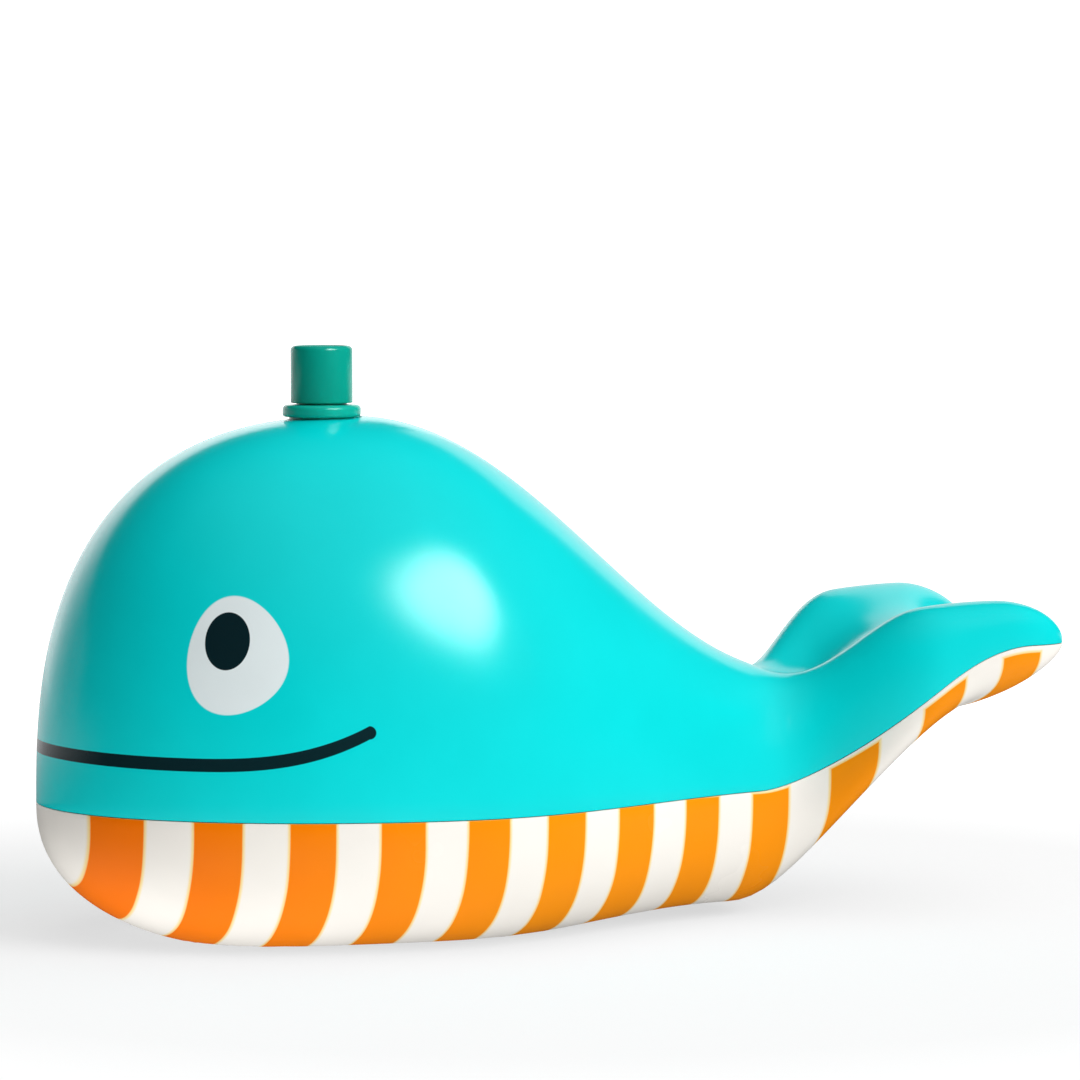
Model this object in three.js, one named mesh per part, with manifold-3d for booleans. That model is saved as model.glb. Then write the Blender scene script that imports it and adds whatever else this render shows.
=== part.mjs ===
// Bubble-blowing whale bath toy, in millimetres, +Z up.
// The nose points to -X, the flukes to +X, and the flat of the belly stands on Z = 0.
// The hull is a tank. A child blows into the mouthpiece between the flukes, and the air passes
// a one-way flap and a tube to a diffuser on the tank floor, below the spout with its fine net.
import * as THREE from 'three';
import { mergeVertices } from 'three/addons/utils/BufferGeometryUtils.js';
import Module from 'manifold-3d';

const wasm = await Module();
wasm.setup();

// Hull: overall sizes.
const LENGTH = 172;
const HEAD_WIDTH = 82.2;
const HEAD_HEIGHT = 85.1;
const WAIST_WIDTH = 32.6;
const WAIST_HEIGHT = 40.4;
const FLUKE_SPAN = 53.8;
const FLUKE_CROWN = 55.2;
const NOTCH_DEPTH = 12;
const NOTCH_DROP = 6.2;
const SEAM_HEIGHT = 22.4;
const FLUKE_SEAM_HEIGHT = 46.3;
const BELLY_DEPTH = 24.8;
const REAR_BELLY_DEPTH = 20.8;
const FLUKE_BELLY_DEPTH = 10.4;

// Hull: stations measured back from the nose.
const WIDEST_STATION = 61.1;
const SUMMIT_STATION = 53.6;
const KEEL_STATION = 41.5;
const BELLY_RISE_STATION = 64.5;

// Hull: stations measured forward from the fluke tips.
const WAIST_BEFORE_TIP = 39.2;
const FLARE_BEFORE_TIP = 50.4;
const TAIL_BEFORE_TIP = 53.6;
const CREST_START_BEFORE_TIP = 52.5;
const CREST_FULL_BEFORE_TIP = 24.9;
const VALLEY_START_BEFORE_TIP = 52.2;
const VALLEY_FULL_BEFORE_TIP = 33.5;
const FLUKE_BEFORE_TIP = 23;
const SEAM_LEVEL_BEFORE_TIP = 7.5;
const NOTCH_START_BEFORE_TIP = 36;
const UNDERSIDE_DIP_BEFORE_TIP = 26;
const TIP_ROUNDING = 12.1;

// Hull: share of the flukes' width lost at their tips, and of their height lost in the valley.
const TIP_TAPER = 0.22;
const VALLEY_SHARE = 0.5;

// Hull: powers of the superellipses that shape its curves, where 2 is an ellipse.
const NOSE_PLAN_POWER = 2;
const NOSE_PROFILE_POWER = 2.5;
const NOSE_BELLY_POWER = 2.25;
const DOME_SIDE_POWER = 2.4;
const DOME_TOP_POWER = 2.2;
const FLUKE_POWER = 4.6;
const BELLY_SIDE_POWER = 2.1;
const BELLY_BASE_POWER = 2.5;

// Walls, the clearance between neighbouring pieces, the lap along the seam, and broken edges.
const WALL = 2;
const CLEARANCE = 0.3;
const LAP_HEIGHT = 2;
const EDGE_BREAK = 0.5;

// Spout at the blowhole, its grommet and the net near its top.
const SPOUT_STATION = 47.8;
const SPOUT_RADIUS = 5.15;
const SPOUT_HEIGHT = 9.5;
const SPOUT_ROUNDING = 0.8;
const STEM_RADIUS = 4.2;
const STEM_LENGTH = 11.5;
const STEM_LEAD = 1;
const SPOUT_BORE_RADIUS = 3.4;
const GROMMET_WAIST_WALL = 0.9;
const GROMMET_LIP_RADIUS = 6.5;
const GROMMET_TOP_LIP = 2;
const GROMMET_INNER_LIP = 1.5;
const GROMMET_ROUNDING = 0.7;
const NECK_THICKNESS = 1.6;
const SCREEN_DEPTH = 4;
const SCREEN_RADIUS = 3.85;
const SCREEN_THICKNESS = 0.6;
const SCREEN_PITCH = 0.92;
const SCREEN_BAR = 0.32;
const RING_HEIGHT = 1.6;
const RING_WALL = 0.7;

// Mouthpiece between the flukes and its one-way valve.
const VALVE_BEFORE_TIP = 18.5;
const MOUTHPIECE_RADIUS = 3.7;
const MOUTHPIECE_BORE_RADIUS = 3;
const MOUTHPIECE_END_BEFORE_TIP = 2.5;
const MOUTHPIECE_LENGTH = 15.2;
const LIP_BEAD_RADIUS = 4.4;
const LIP_BEAD_LENGTH = 2.4;
const BOSS_WALL = 1.3;
const BOSS_LENGTH = 4.6;
const BOSS_STAND = 1.8;
const FLANGE_RADIUS = 5.6;
const FLANGE_THICKNESS = 1.5;
const SEAL_THICKNESS = 1.2;
const CHAMBER_RADIUS = 4.1;
const CHAMBER_LENGTH = 6;
const CHAMBER_WALL = 0.7;
const SLEEVE_LENGTH = 1.6;
const SLEEVE_WALL = 0.7;
const FLAP_RADIUS = 3.3;
const FLAP_THICKNESS = 0.8;
const BARB_DROP = 1.6;

// Air tube, its barbs and the diffuser on the tank floor below the spout.
const TUBE_RADIUS = 2.5;
const TUBE_BORE_RADIUS = 1.6;
const BARB_BORE_RADIUS = 0.8;
const BARB_LENGTH = 6.5;
const TUBE_FLOOR_HEIGHT = 7;
const TUBE_BEND = 11;
const TUBE_FLOOR_RUN = 8;
const DIFFUSER_RADIUS = 11;
const DIFFUSER_WALL = 1.5;
const DIFFUSER_HEIGHT = 8;
const CAP_THICKNESS = 1.5;
const CAP_SPIGOT = 2;
const CAP_HOLE_RADIUS = 0.8;
const CAP_HOLE_RINGS = 2;
const CAP_HOLE_PITCH = 3.2;
const LOCATOR_WALL = 1.3;
const LOCATOR_HEIGHT = 2;
const CRADLE_STATIONS = [67, 73];
const CRADLE_THICKNESS = 2.4;
const CRADLE_WALL = 2;

// Fineness of the facets.
const OUTER_ROWS = 38;
const OUTER_COLUMNS = 20;
const INNER_ROWS = 26;
const INNER_COLUMNS = 14;
const ROUND_SIDES = 24;
const SMALL_SIDES = 12;

// Materials: colour, roughness.
const TURQUOISE = [0x00cdc8, 0.22];
const IVORY = [0xf5eee4, 0.3];
const SPOUT_GREEN = [0x009e8c, 0.28];
const SILICONE_GREEN = [0x16ac98, 0.35];
const MESH_WHITE = [0xdfeceb, 0.5];
const CLEAR_SILICONE = [0xd9e2e0, 0.4];
const WHITE_PLASTIC = [0xe9ecea, 0.35];

const NOSE_X = -LENGTH / 2;
const TIP_X = LENGTH / 2;
const SPOUT_X = NOSE_X + SPOUT_STATION;

// Smooth rise from 0 to 1 between two stations.
function ease(value, start, end) {
  const t = Math.min(Math.max((value - start) / (end - start), 0), 1);
  return (1 - Math.cos(Math.PI * t)) / 2;
}

// Quarter of a superellipse: 0 at the nose, 1 from `reach` on.
function noseCurve(station, reach, power) {
  const t = Math.max(1 - station / reach, 0);
  return (1 - t ** power) ** (1 / power);
}

// Rounding of the trailing edge: 1 along the body, 0 at the fluke tips.
function tipCurve(station) {
  const t = Math.max((station - LENGTH + TIP_ROUNDING) / TIP_ROUNDING, 0);
  return Math.sqrt(Math.max(1 - t * t, 0));
}

// Square ramp that ends at 1 at the fluke tips.
function tailRamp(station, beforeTip) {
  return (Math.max(station - LENGTH + beforeTip, 0) / beforeTip) ** 2;
}

// Sizes of the hull's cross-section at one station.
function section(station) {
  const backFrom = (beforeTip) => LENGTH - beforeTip;
  const tail = ease(station, backFrom(TAIL_BEFORE_TIP), backFrom(FLUKE_BEFORE_TIP));
  const forebody = 1 - ease(station, WIDEST_STATION, backFrom(WAIST_BEFORE_TIP));
  const flare = ease(station, backFrom(FLARE_BEFORE_TIP), backFrom(FLUKE_BEFORE_TIP));
  const back = 1 - ease(station, SUMMIT_STATION, backFrom(WAIST_BEFORE_TIP));
  const crest = ease(station, backFrom(CREST_START_BEFORE_TIP), backFrom(CREST_FULL_BEFORE_TIP));
  const hollow = ease(station, backFrom(VALLEY_START_BEFORE_TIP), backFrom(VALLEY_FULL_BEFORE_TIP));
  const lift = ease(station, backFrom(TAIL_BEFORE_TIP), backFrom(SEAM_LEVEL_BEFORE_TIP));
  const bellyRise = ease(station, BELLY_RISE_STATION, backFrom(TAIL_BEFORE_TIP));
  const tip = tipCurve(station);

  const width = WAIST_WIDTH + (HEAD_WIDTH - WAIST_WIDTH) * forebody + (FLUKE_SPAN - WAIST_WIDTH) * flare;
  const seam = SEAM_HEIGHT + (FLUKE_SEAM_HEIGHT - SEAM_HEIGHT) * lift;
  const crown = WAIST_HEIGHT + (HEAD_HEIGHT - WAIST_HEIGHT) * back + (FLUKE_CROWN - WAIST_HEIGHT) * crest;
  const depth = BELLY_DEPTH - (BELLY_DEPTH - REAR_BELLY_DEPTH) * bellyRise
    - (REAR_BELLY_DEPTH - FLUKE_BELLY_DEPTH) * tail;
  const rise = (crown - seam) * noseCurve(station, SUMMIT_STATION, NOSE_PROFILE_POWER) * tip;
  return {
    halfWidth: (width / 2) * noseCurve(station, WIDEST_STATION, NOSE_PLAN_POWER)
      * (1 - TIP_TAPER * (1 - tip)),
    seam,
    rise,
    depth: depth * noseCurve(station, KEEL_STATION, NOSE_BELLY_POWER) * tip,
    valley: VALLEY_SHARE * rise * hollow,
    dip: NOTCH_DROP * tailRamp(station, UNDERSIDE_DIP_BEFORE_TIP),
    notch: NOTCH_DEPTH * tailRamp(station, NOTCH_START_BEFORE_TIP),
    sidePower: DOME_SIDE_POWER + (FLUKE_POWER - DOME_SIDE_POWER) * tail,
    topPower: DOME_TOP_POWER + (FLUKE_POWER - DOME_TOP_POWER) * tail,
  };
}

// Share of the full height left at a place across the section, 1 on the centre line.
function bulge(across, sidePower, topPower) {
  return Math.max(1 - Math.abs(across) ** sidePower, 0) ** (1 / topPower);
}

// A point of the hull: `along` runs 0 to 1 from nose to tips, `over` 0 to 1 across the hull.
// Both are spaced closely where the surface turns fast.
function hullPoint(along, over, heightOf) {
  const station = (LENGTH * (1 - Math.cos(Math.PI * along))) / 2;
  const s = section(station);
  const across = Math.sin(Math.PI * (over - 0.5));
  const middle = (1 - across ** 2) ** 2;
  const x = NOSE_X + station - s.notch * middle;
  return new THREE.Vector3(x, across * s.halfWidth, heightOf(s, across, middle));
}

// Height of the upper shell's outer face, of the belly's outer face and of the parting face.
const upperHeight = (s, across, middle) =>
  CLEARANCE + s.seam + s.rise * bulge(across, s.sidePower, s.topPower) - (s.valley + s.dip) * middle;
const lowerHeight = (s, across, middle) =>
  s.seam - s.depth * bulge(across, BELLY_SIDE_POWER, BELLY_BASE_POWER) - s.dip * middle;
const partingHeight = (s, across, middle) => s.seam - s.dip * middle;

// Outward direction of a hull face; `side` is 1 for the upper face and -1 for the belly.
function outward(along, over, heightOf, side) {
  const step = 0.002;
  if (along === 0) return new THREE.Vector3(-1, 0, 0);
  const a = Math.min(Math.max(along, step), 1 - step);
  const b = Math.min(Math.max(over, step), 1 - step);
  const lengthwise = hullPoint(a + step, b, heightOf).sub(hullPoint(a - step, b, heightOf));
  const crosswise = hullPoint(a, b + step, heightOf).sub(hullPoint(a, b - step, heightOf));
  return lengthwise.cross(crosswise).multiplyScalar(side).normalize();
}

// Grid of points from a function of (along, over).
function grid(rows, columns, pointAt) {
  const points = [];
  for (let i = 0; i <= rows; i += 1) {
    const row = [];
    for (let j = 0; j <= columns; j += 1) row.push(pointAt(i / rows, j / columns));
    points.push(row);
  }
  return points;
}

// Closed body between two grids of the same size, the first above the second.
function bodyBetween(top, bottom) {
  const corners = [];
  const quad = (a, b, c, d) => corners.push(a, b, c, a, c, d);
  const rows = top.length - 1;
  const columns = top[0].length - 1;
  for (let i = 0; i < rows; i += 1) {
    for (let j = 0; j < columns; j += 1) {
      quad(top[i][j], top[i + 1][j], top[i + 1][j + 1], top[i][j + 1]);
      quad(bottom[i][j], bottom[i][j + 1], bottom[i + 1][j + 1], bottom[i + 1][j]);
    }
    quad(bottom[i][0], bottom[i + 1][0], top[i + 1][0], top[i][0]);
    quad(top[i][columns], top[i + 1][columns], bottom[i + 1][columns], bottom[i][columns]);
  }
  for (let j = 0; j < columns; j += 1) {
    quad(bottom[rows][j], bottom[rows][j + 1], top[rows][j + 1], top[rows][j]);
    quad(top[0][j], top[0][j + 1], bottom[0][j + 1], bottom[0][j]);
  }
  return new THREE.BufferGeometry().setFromPoints(corners);
}

// Solid for joining and cutting, from any closed geometry.
function solid(geometry) {
  const bare = new THREE.BufferGeometry();
  bare.setAttribute('position', geometry.getAttribute('position').clone());
  if (geometry.index) bare.setIndex(geometry.index.clone());
  const merged = mergeVertices(bare);
  const index = merged.index.array;
  const triangles = [];
  for (let k = 0; k < index.length; k += 3) {
    const [a, b, c] = index.slice(k, k + 3);
    if (a !== b && b !== c && c !== a) triangles.push(a, b, c);
  }
  return new wasm.Manifold(new wasm.Mesh({
    numProp: 3,
    vertProperties: new Float32Array(merged.getAttribute('position').array),
    triVerts: new Uint32Array(triangles),
  }));
}

// Geometry to draw, from a solid.
function surface(body) {
  const mesh = body.getMesh();
  const geometry = new THREE.BufferGeometry();
  geometry.setAttribute('position', new THREE.BufferAttribute(new Float32Array(mesh.vertProperties), 3));
  geometry.setIndex(new THREE.BufferAttribute(new Uint32Array(mesh.triVerts), 1));
  geometry.computeVertexNormals();
  return geometry;
}

// Body turned about Z from a closed profile of [radius, height], going round anticlockwise.
function turned(profile, sides = ROUND_SIDES) {
  const points = [...profile, profile[0]].map(([radius, height]) => new THREE.Vector2(radius, height));
  return new THREE.LatheGeometry(points, sides).rotateX(Math.PI / 2);
}

// Body turned about the mouthpiece axis from a closed profile of [radius, x].
function turnedAlongX(profile, sides = ROUND_SIDES) {
  return turned(profile, sides).rotateY(Math.PI / 2).translate(0, 0, mouthHeight);
}

// Profile of a plain ring or, with no inner radius, of a disc.
function ringProfile(inner, outer, low, high) {
  return [[outer, low], [outer, high], [inner, high], [inner, low]];
}

function block(low, high) {
  const size = new THREE.Vector3().subVectors(high, low);
  const middle = new THREE.Vector3().addVectors(low, high).multiplyScalar(0.5);
  return new THREE.BoxGeometry(size.x, size.y, size.z).translate(middle.x, middle.y, middle.z);
}

// Everything above a height, as wide as the hull.
function spaceAbove(height) {
  const reach = LENGTH + HEAD_WIDTH + HEAD_HEIGHT;
  return solid(block(new THREE.Vector3(-reach, -reach, height), new THREE.Vector3(reach, reach, reach)));
}

// Closed loop of the seam's outer edge, from the nose along the near side and round the flukes.
function seamLoop() {
  const loop = [];
  for (let i = 0; i < OUTER_ROWS; i += 1) loop.push(hullPoint(i / OUTER_ROWS, 0, partingHeight));
  for (let j = 0; j < OUTER_COLUMNS; j += 1) loop.push(hullPoint(1, j / OUTER_COLUMNS, partingHeight));
  for (let i = OUTER_ROWS; i > 0; i -= 1) loop.push(hullPoint(i / OUTER_ROWS, 1, partingHeight));
  return loop;
}

// Band that follows the seam inside the wall, between two distances in from the outer face.
// It stops where the fluke tips grow too thin for a lap.
function seamBand(nearDistance, farDistance, below, above) {
  const loop = seamLoop();
  const corners = [];
  const rings = loop.map((point, k) => {
    const ahead = loop[(k + 1) % loop.length];
    const behind = loop[(k + loop.length - 1) % loop.length];
    const inward = new THREE.Vector3(behind.y - ahead.y, ahead.x - behind.x, 0).normalize();
    const at = (distance, height) =>
      point.clone().addScaledVector(inward, distance).add(new THREE.Vector3(0, 0, height));
    return [
      at(nearDistance, -below), at(nearDistance, above), at(farDistance, above), at(farDistance, -below)];
  });
  rings.forEach((ring, k) => {
    const next = rings[(k + 1) % rings.length];
    for (let c = 0; c < ring.length; c += 1) {
      const d = (c + 1) % ring.length;
      corners.push(ring[c], next[c], next[d], ring[c], next[d], ring[d]);
    }
  });
  const reach = LENGTH + HEAD_WIDTH + HEAD_HEIGHT;
  const aheadOfTips = block(
    new THREE.Vector3(-reach, -reach, -reach), new THREE.Vector3(TIP_X - TIP_ROUNDING, reach, reach));
  return solid(new THREE.BufferGeometry().setFromPoints(corners)).intersect(solid(aheadOfTips));
}

// Height of a hull face on the centre line at a station.
function centreHeight(station, heightOf) {
  return hullPoint(Math.acos(1 - (2 * station) / LENGTH) / Math.PI, 0.5, heightOf).z;
}

// Seat heights at the blowhole, from the top of the head down.
const neckTop = centreHeight(SPOUT_STATION, upperHeight) - CLEARANCE;
const neckUnder = neckTop - NECK_THICKNESS;
const grommetTop = neckTop + CLEARANCE + GROMMET_TOP_LIP;
const grommetUnder = neckUnder - CLEARANCE - GROMMET_INNER_LIP;
const grommetBore = STEM_RADIUS + CLEARANCE;
const grommetWaist = grommetBore + GROMMET_WAIST_WALL;
const neckHole = grommetWaist + CLEARANCE;
const spoutBase = grommetTop + CLEARANCE;
const spoutTop = spoutBase + SPOUT_HEIGHT;
const screenLedge = spoutTop - SCREEN_DEPTH;
const screenPocket = SCREEN_RADIUS + CLEARANCE;

// Height of the mouthpiece axis, midway in the tail at the valve, and places along it, from its
// open end inward.
const valveStation = LENGTH - VALVE_BEFORE_TIP;
const mouthHeight = (centreHeight(valveStation, upperHeight) + centreHeight(valveStation, lowerHeight)) / 2;
const mouthEnd = TIP_X - MOUTHPIECE_END_BEFORE_TIP;
const seatX = mouthEnd - MOUTHPIECE_LENGTH;
const bossFace = TIP_X - NOTCH_DEPTH + BOSS_STAND;
const sealFace = bossFace + CLEARANCE + SEAL_THICKNESS;
const flangeFace = sealFace + CLEARANCE;
const mouthHole = MOUTHPIECE_RADIUS + CLEARANCE;
const bossRadius = mouthHole + BOSS_WALL;
const sleeveRadius = mouthHole + SLEEVE_WALL;
const sleeveEnd = Math.min(seatX + SLEEVE_LENGTH, bossFace - BOSS_LENGTH - CLEARANCE);
const chamberEnd = seatX - CHAMBER_LENGTH;
const chamberBack = chamberEnd - CHAMBER_WALL;
const chamberOuter = CHAMBER_RADIUS + CHAMBER_WALL;
const barbRoot = new THREE.Vector3(chamberBack, 0, mouthHeight - BARB_DROP);
const barbRadius = TUBE_BORE_RADIUS - CLEARANCE;

// Heights and places on the tank floor.
const diffuserBase = WALL + CLEARANCE;
const diffuserTop = diffuserBase + DIFFUSER_HEIGHT;
const diffuserSide = SPOUT_X + DIFFUSER_RADIUS;
const capBase = diffuserTop + CLEARANCE;

// The air tube's two ends, the corner of its bend, and the slope from the valve down to that corner.
const tubeEnd = diffuserSide + CLEARANCE;
const tubeTurnX = tubeEnd + BARB_LENGTH + TUBE_FLOOR_RUN + TUBE_BEND;
const tubeCorner = new THREE.Vector3(tubeTurnX, 0, TUBE_FLOOR_HEIGHT);
const tubeSlope = new THREE.Vector3().subVectors(tubeCorner, barbRoot).normalize();

function upperShell() {
  const outer = solid(bodyBetween(
    grid(OUTER_ROWS, OUTER_COLUMNS, (a, b) => hullPoint(a, b, upperHeight)),
    grid(OUTER_ROWS, OUTER_COLUMNS, (a, b) =>
      hullPoint(a, b, partingHeight).add(new THREE.Vector3(0, 0, CLEARANCE))),
  ));
  const roof = grid(INNER_ROWS, INNER_COLUMNS, (a, b) =>
    hullPoint(a, b, upperHeight).addScaledVector(outward(a, b, upperHeight, 1), -WALL));
  const mouth = roof.map((row, i) => row.map((point, j) => {
    const edge = hullPoint(i / INNER_ROWS, j / INNER_COLUMNS, partingHeight);
    return new THREE.Vector3(point.x, point.y, Math.min(edge.z, point.z) - WALL);
  }));
  const rebate = seamBand(WALL / 2 - CLEARANCE / 2, 2 * WALL, WALL, LAP_HEIGHT + CLEARANCE);
  const faceRadius = GROMMET_LIP_RADIUS + CLEARANCE;
  const spotFace = (low, high) => solid(
    turned([[faceRadius, low], [faceRadius, high], [0, high], [0, low]]).translate(SPOUT_X, 0, 0));
  const blowhole = solid(turned([[neckHole, 0], [neckHole, spoutTop], [0, spoutTop], [0, 0]])
    .translate(SPOUT_X, 0, 0));
  const boss = solid(turnedAlongX([
    [bossRadius, bossFace - BOSS_LENGTH], [bossRadius, bossFace],
    [0, bossFace], [0, bossFace - BOSS_LENGTH]]));
  const bossBore = solid(turnedAlongX([
    [mouthHole, seatX], [mouthHole, mouthEnd], [0, mouthEnd], [0, seatX]]));
  return outer.subtract(solid(bodyBetween(roof, mouth))).subtract(rebate)
    .subtract(spotFace(neckTop, spoutTop)).subtract(spotFace(grommetUnder, neckUnder)).subtract(blowhole)
    .add(boss).subtract(bossBore);
}

// Rib that stands on the tank floor and holds the air tube in a round notch.
function tubeCradle(station) {
  const x = NOSE_X + station;
  const notchRadius = TUBE_RADIUS + CLEARANCE;
  const half = notchRadius + CRADLE_WALL;
  const rib = solid(block(
    new THREE.Vector3(x - CRADLE_THICKNESS / 2, -half, WALL / 2),
    new THREE.Vector3(x + CRADLE_THICKNESS / 2, half, TUBE_FLOOR_HEIGHT)));
  const notchProfile = [[notchRadius, -half], [notchRadius, half], [0, half], [0, -half]];
  const notch = solid(turned(notchProfile, SMALL_SIDES)
    .rotateY(Math.PI / 2).translate(x, 0, TUBE_FLOOR_HEIGHT));
  return rib.subtract(notch);
}

function lowerShell() {
  const outer = solid(bodyBetween(
    grid(OUTER_ROWS, OUTER_COLUMNS, (a, b) => hullPoint(a, b, partingHeight)),
    grid(OUTER_ROWS, OUTER_COLUMNS, (a, b) => hullPoint(a, b, lowerHeight)),
  )).intersect(spaceAbove(0));
  const floor = grid(INNER_ROWS, INNER_COLUMNS, (a, b) =>
    hullPoint(a, b, lowerHeight).addScaledVector(outward(a, b, lowerHeight, -1), -WALL));
  const mouth = floor.map((row, i) => row.map((point, j) => {
    const edge = hullPoint(i / INNER_ROWS, j / INNER_COLUMNS, partingHeight);
    return new THREE.Vector3(point.x, point.y, Math.max(edge.z, point.z) + WALL);
  }));
  const tank = solid(bodyBetween(mouth, floor)).intersect(spaceAbove(WALL));
  const lap = seamBand(WALL / 2 + CLEARANCE / 2, WALL, WALL / 2, LAP_HEIGHT);
  const bossRoom = solid(turnedAlongX([
    [bossRadius + CLEARANCE, seatX], [bossRadius + CLEARANCE, TIP_X], [0, TIP_X], [0, seatX]]));
  const locator = solid(turned(ringProfile(
    DIFFUSER_RADIUS + CLEARANCE, DIFFUSER_RADIUS + CLEARANCE + LOCATOR_WALL,
    WALL / 2, WALL + LOCATOR_HEIGHT)).translate(SPOUT_X, 0, 0));
  const shell = outer.subtract(tank).add(lap).subtract(bossRoom).add(locator);
  return CRADLE_STATIONS.reduce((body, station) => body.add(tubeCradle(station)), shell);
}

function spoutGrommet() {
  const lipUnder = neckTop + CLEARANCE;
  return turned([
    [grommetWaist, lipUnder], [GROMMET_LIP_RADIUS - EDGE_BREAK, lipUnder],
    [GROMMET_LIP_RADIUS, lipUnder + EDGE_BREAK], [GROMMET_LIP_RADIUS, grommetTop - GROMMET_ROUNDING],
    [GROMMET_LIP_RADIUS - 0.3 * GROMMET_ROUNDING, grommetTop - 0.3 * GROMMET_ROUNDING],
    [GROMMET_LIP_RADIUS - GROMMET_ROUNDING, grommetTop],
    [grommetBore, grommetTop], [grommetBore, grommetUnder],
    [grommetWaist, grommetUnder], [GROMMET_LIP_RADIUS, neckUnder - CLEARANCE],
    [grommetWaist, neckUnder - CLEARANCE],
  ]).translate(SPOUT_X, 0, 0);
}

function blowholeSpout() {
  const stemEnd = spoutBase - STEM_LENGTH;
  return turned([
    [STEM_RADIUS - EDGE_BREAK, stemEnd], [STEM_RADIUS, stemEnd + STEM_LEAD], [STEM_RADIUS, spoutBase],
    [SPOUT_RADIUS, spoutBase], [SPOUT_RADIUS, spoutTop - SPOUT_ROUNDING],
    [SPOUT_RADIUS - 0.3 * SPOUT_ROUNDING, spoutTop - 0.3 * SPOUT_ROUNDING],
    [SPOUT_RADIUS - SPOUT_ROUNDING, spoutTop], [screenPocket, spoutTop],
    [screenPocket, screenLedge], [SPOUT_BORE_RADIUS, screenLedge], [SPOUT_BORE_RADIUS, stemEnd],
  ]).translate(SPOUT_X, 0, 0);
}

// Flat round net with square gaps, laid out from its middle.
function foamScreen() {
  const base = screenLedge + CLEARANCE;
  const top = base + SCREEN_THICKNESS;
  const half = (SCREEN_PITCH - SCREEN_BAR) / 2;
  const reach = Math.floor(SCREEN_RADIUS / SCREEN_PITCH);
  let net = solid(turned([[SCREEN_RADIUS, base], [SCREEN_RADIUS, top], [0, top], [0, base]])
    .translate(SPOUT_X, 0, 0));
  for (let i = -reach; i <= reach; i += 1) {
    for (let j = -reach; j <= reach; j += 1) {
      const [x, y] = [i * SCREEN_PITCH, j * SCREEN_PITCH];
      if (Math.hypot(Math.abs(x) + half, Math.abs(y) + half) < SCREEN_RADIUS - SCREEN_BAR) {
        net = net.subtract(solid(block(
          new THREE.Vector3(SPOUT_X + x - half, y - half, base - CLEARANCE),
          new THREE.Vector3(SPOUT_X + x + half, y + half, top + CLEARANCE))));
      }
    }
  }
  return net;
}

function screenRing() {
  const base = screenLedge + 2 * CLEARANCE + SCREEN_THICKNESS;
  return turned(ringProfile(SCREEN_RADIUS - RING_WALL, SCREEN_RADIUS, base, base + RING_HEIGHT))
    .translate(SPOUT_X, 0, 0);
}

function mouthpiece() {
  const beadStart = mouthEnd - LIP_BEAD_LENGTH;
  const flangeBack = flangeFace + FLANGE_THICKNESS;
  return turnedAlongX([
    [MOUTHPIECE_RADIUS, seatX], [MOUTHPIECE_RADIUS, flangeFace], [FLANGE_RADIUS, flangeFace],
    [FLANGE_RADIUS, flangeBack - EDGE_BREAK], [FLANGE_RADIUS - EDGE_BREAK, flangeBack],
    [MOUTHPIECE_RADIUS, flangeBack], [MOUTHPIECE_RADIUS, beadStart - EDGE_BREAK],
    [LIP_BEAD_RADIUS, beadStart], [LIP_BEAD_RADIUS, mouthEnd - EDGE_BREAK],
    [LIP_BEAD_RADIUS - EDGE_BREAK, mouthEnd], [MOUTHPIECE_BORE_RADIUS, mouthEnd],
    [MOUTHPIECE_BORE_RADIUS, seatX],
  ]);
}

function mouthpieceSeal() {
  return turnedAlongX(ringProfile(mouthHole, bossRadius, bossFace + CLEARANCE, sealFace));
}

// Rod or bore from one point to another.
function rodBetween(from, to, radius) {
  const along = new THREE.Vector3().subVectors(to, from);
  const upward = new THREE.Vector3(0, 0, 1);
  const turn = new THREE.Quaternion().setFromUnitVectors(upward, along.clone().normalize());
  const height = along.length();
  return solid(turned([[radius, 0], [radius, height], [0, height], [0, 0]], SMALL_SIDES)
    .applyQuaternion(turn).translate(from.x, from.y, from.z));
}

// Cup over the mouthpiece's inner end, with the flap's room and a sloping barb for the tube.
function valveChamber() {
  const body = solid(turnedAlongX([
    [chamberOuter, chamberBack], [chamberOuter, seatX], [sleeveRadius, seatX + CHAMBER_WALL],
    [sleeveRadius, sleeveEnd], [0, sleeveEnd], [0, chamberBack]]));
  const room = solid(turnedAlongX([
    [CHAMBER_RADIUS, chamberEnd], [CHAMBER_RADIUS, seatX], [mouthHole, seatX],
    [mouthHole, sleeveEnd + CLEARANCE], [0, sleeveEnd + CLEARANCE], [0, chamberEnd]]));
  const alongBarb = (distance) => barbRoot.clone().addScaledVector(tubeSlope, distance);
  const barb = rodBetween(alongBarb(-2 * barbRadius), alongBarb(BARB_LENGTH), barbRadius);
  const bore = rodBetween(alongBarb(-2 * barbRadius), alongBarb(2 * BARB_LENGTH), BARB_BORE_RADIUS);
  return body.add(barb).subtract(room).subtract(bore);
}

// Round flap with a straight hinge tab at its top.
function valveFlap() {
  const tab = FLAP_RADIUS / 3;
  const top = FLAP_RADIUS + CLEARANCE;
  const outline = new THREE.Shape();
  const start = Math.PI / 2 + Math.asin(tab / FLAP_RADIUS);
  outline.absarc(0, 0, FLAP_RADIUS, start, 2 * Math.PI + Math.PI - start, false);
  outline.lineTo(tab, top);
  outline.lineTo(-tab, top);
  outline.closePath();
  return new THREE.ExtrudeGeometry(outline, {
    depth: FLAP_THICKNESS, bevelEnabled: false, curveSegments: SMALL_SIDES / 2,
  }).rotateX(Math.PI / 2).rotateZ(Math.PI / 2)
    .translate(seatX - CLEARANCE - FLAP_THICKNESS, 0, mouthHeight);
}

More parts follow.
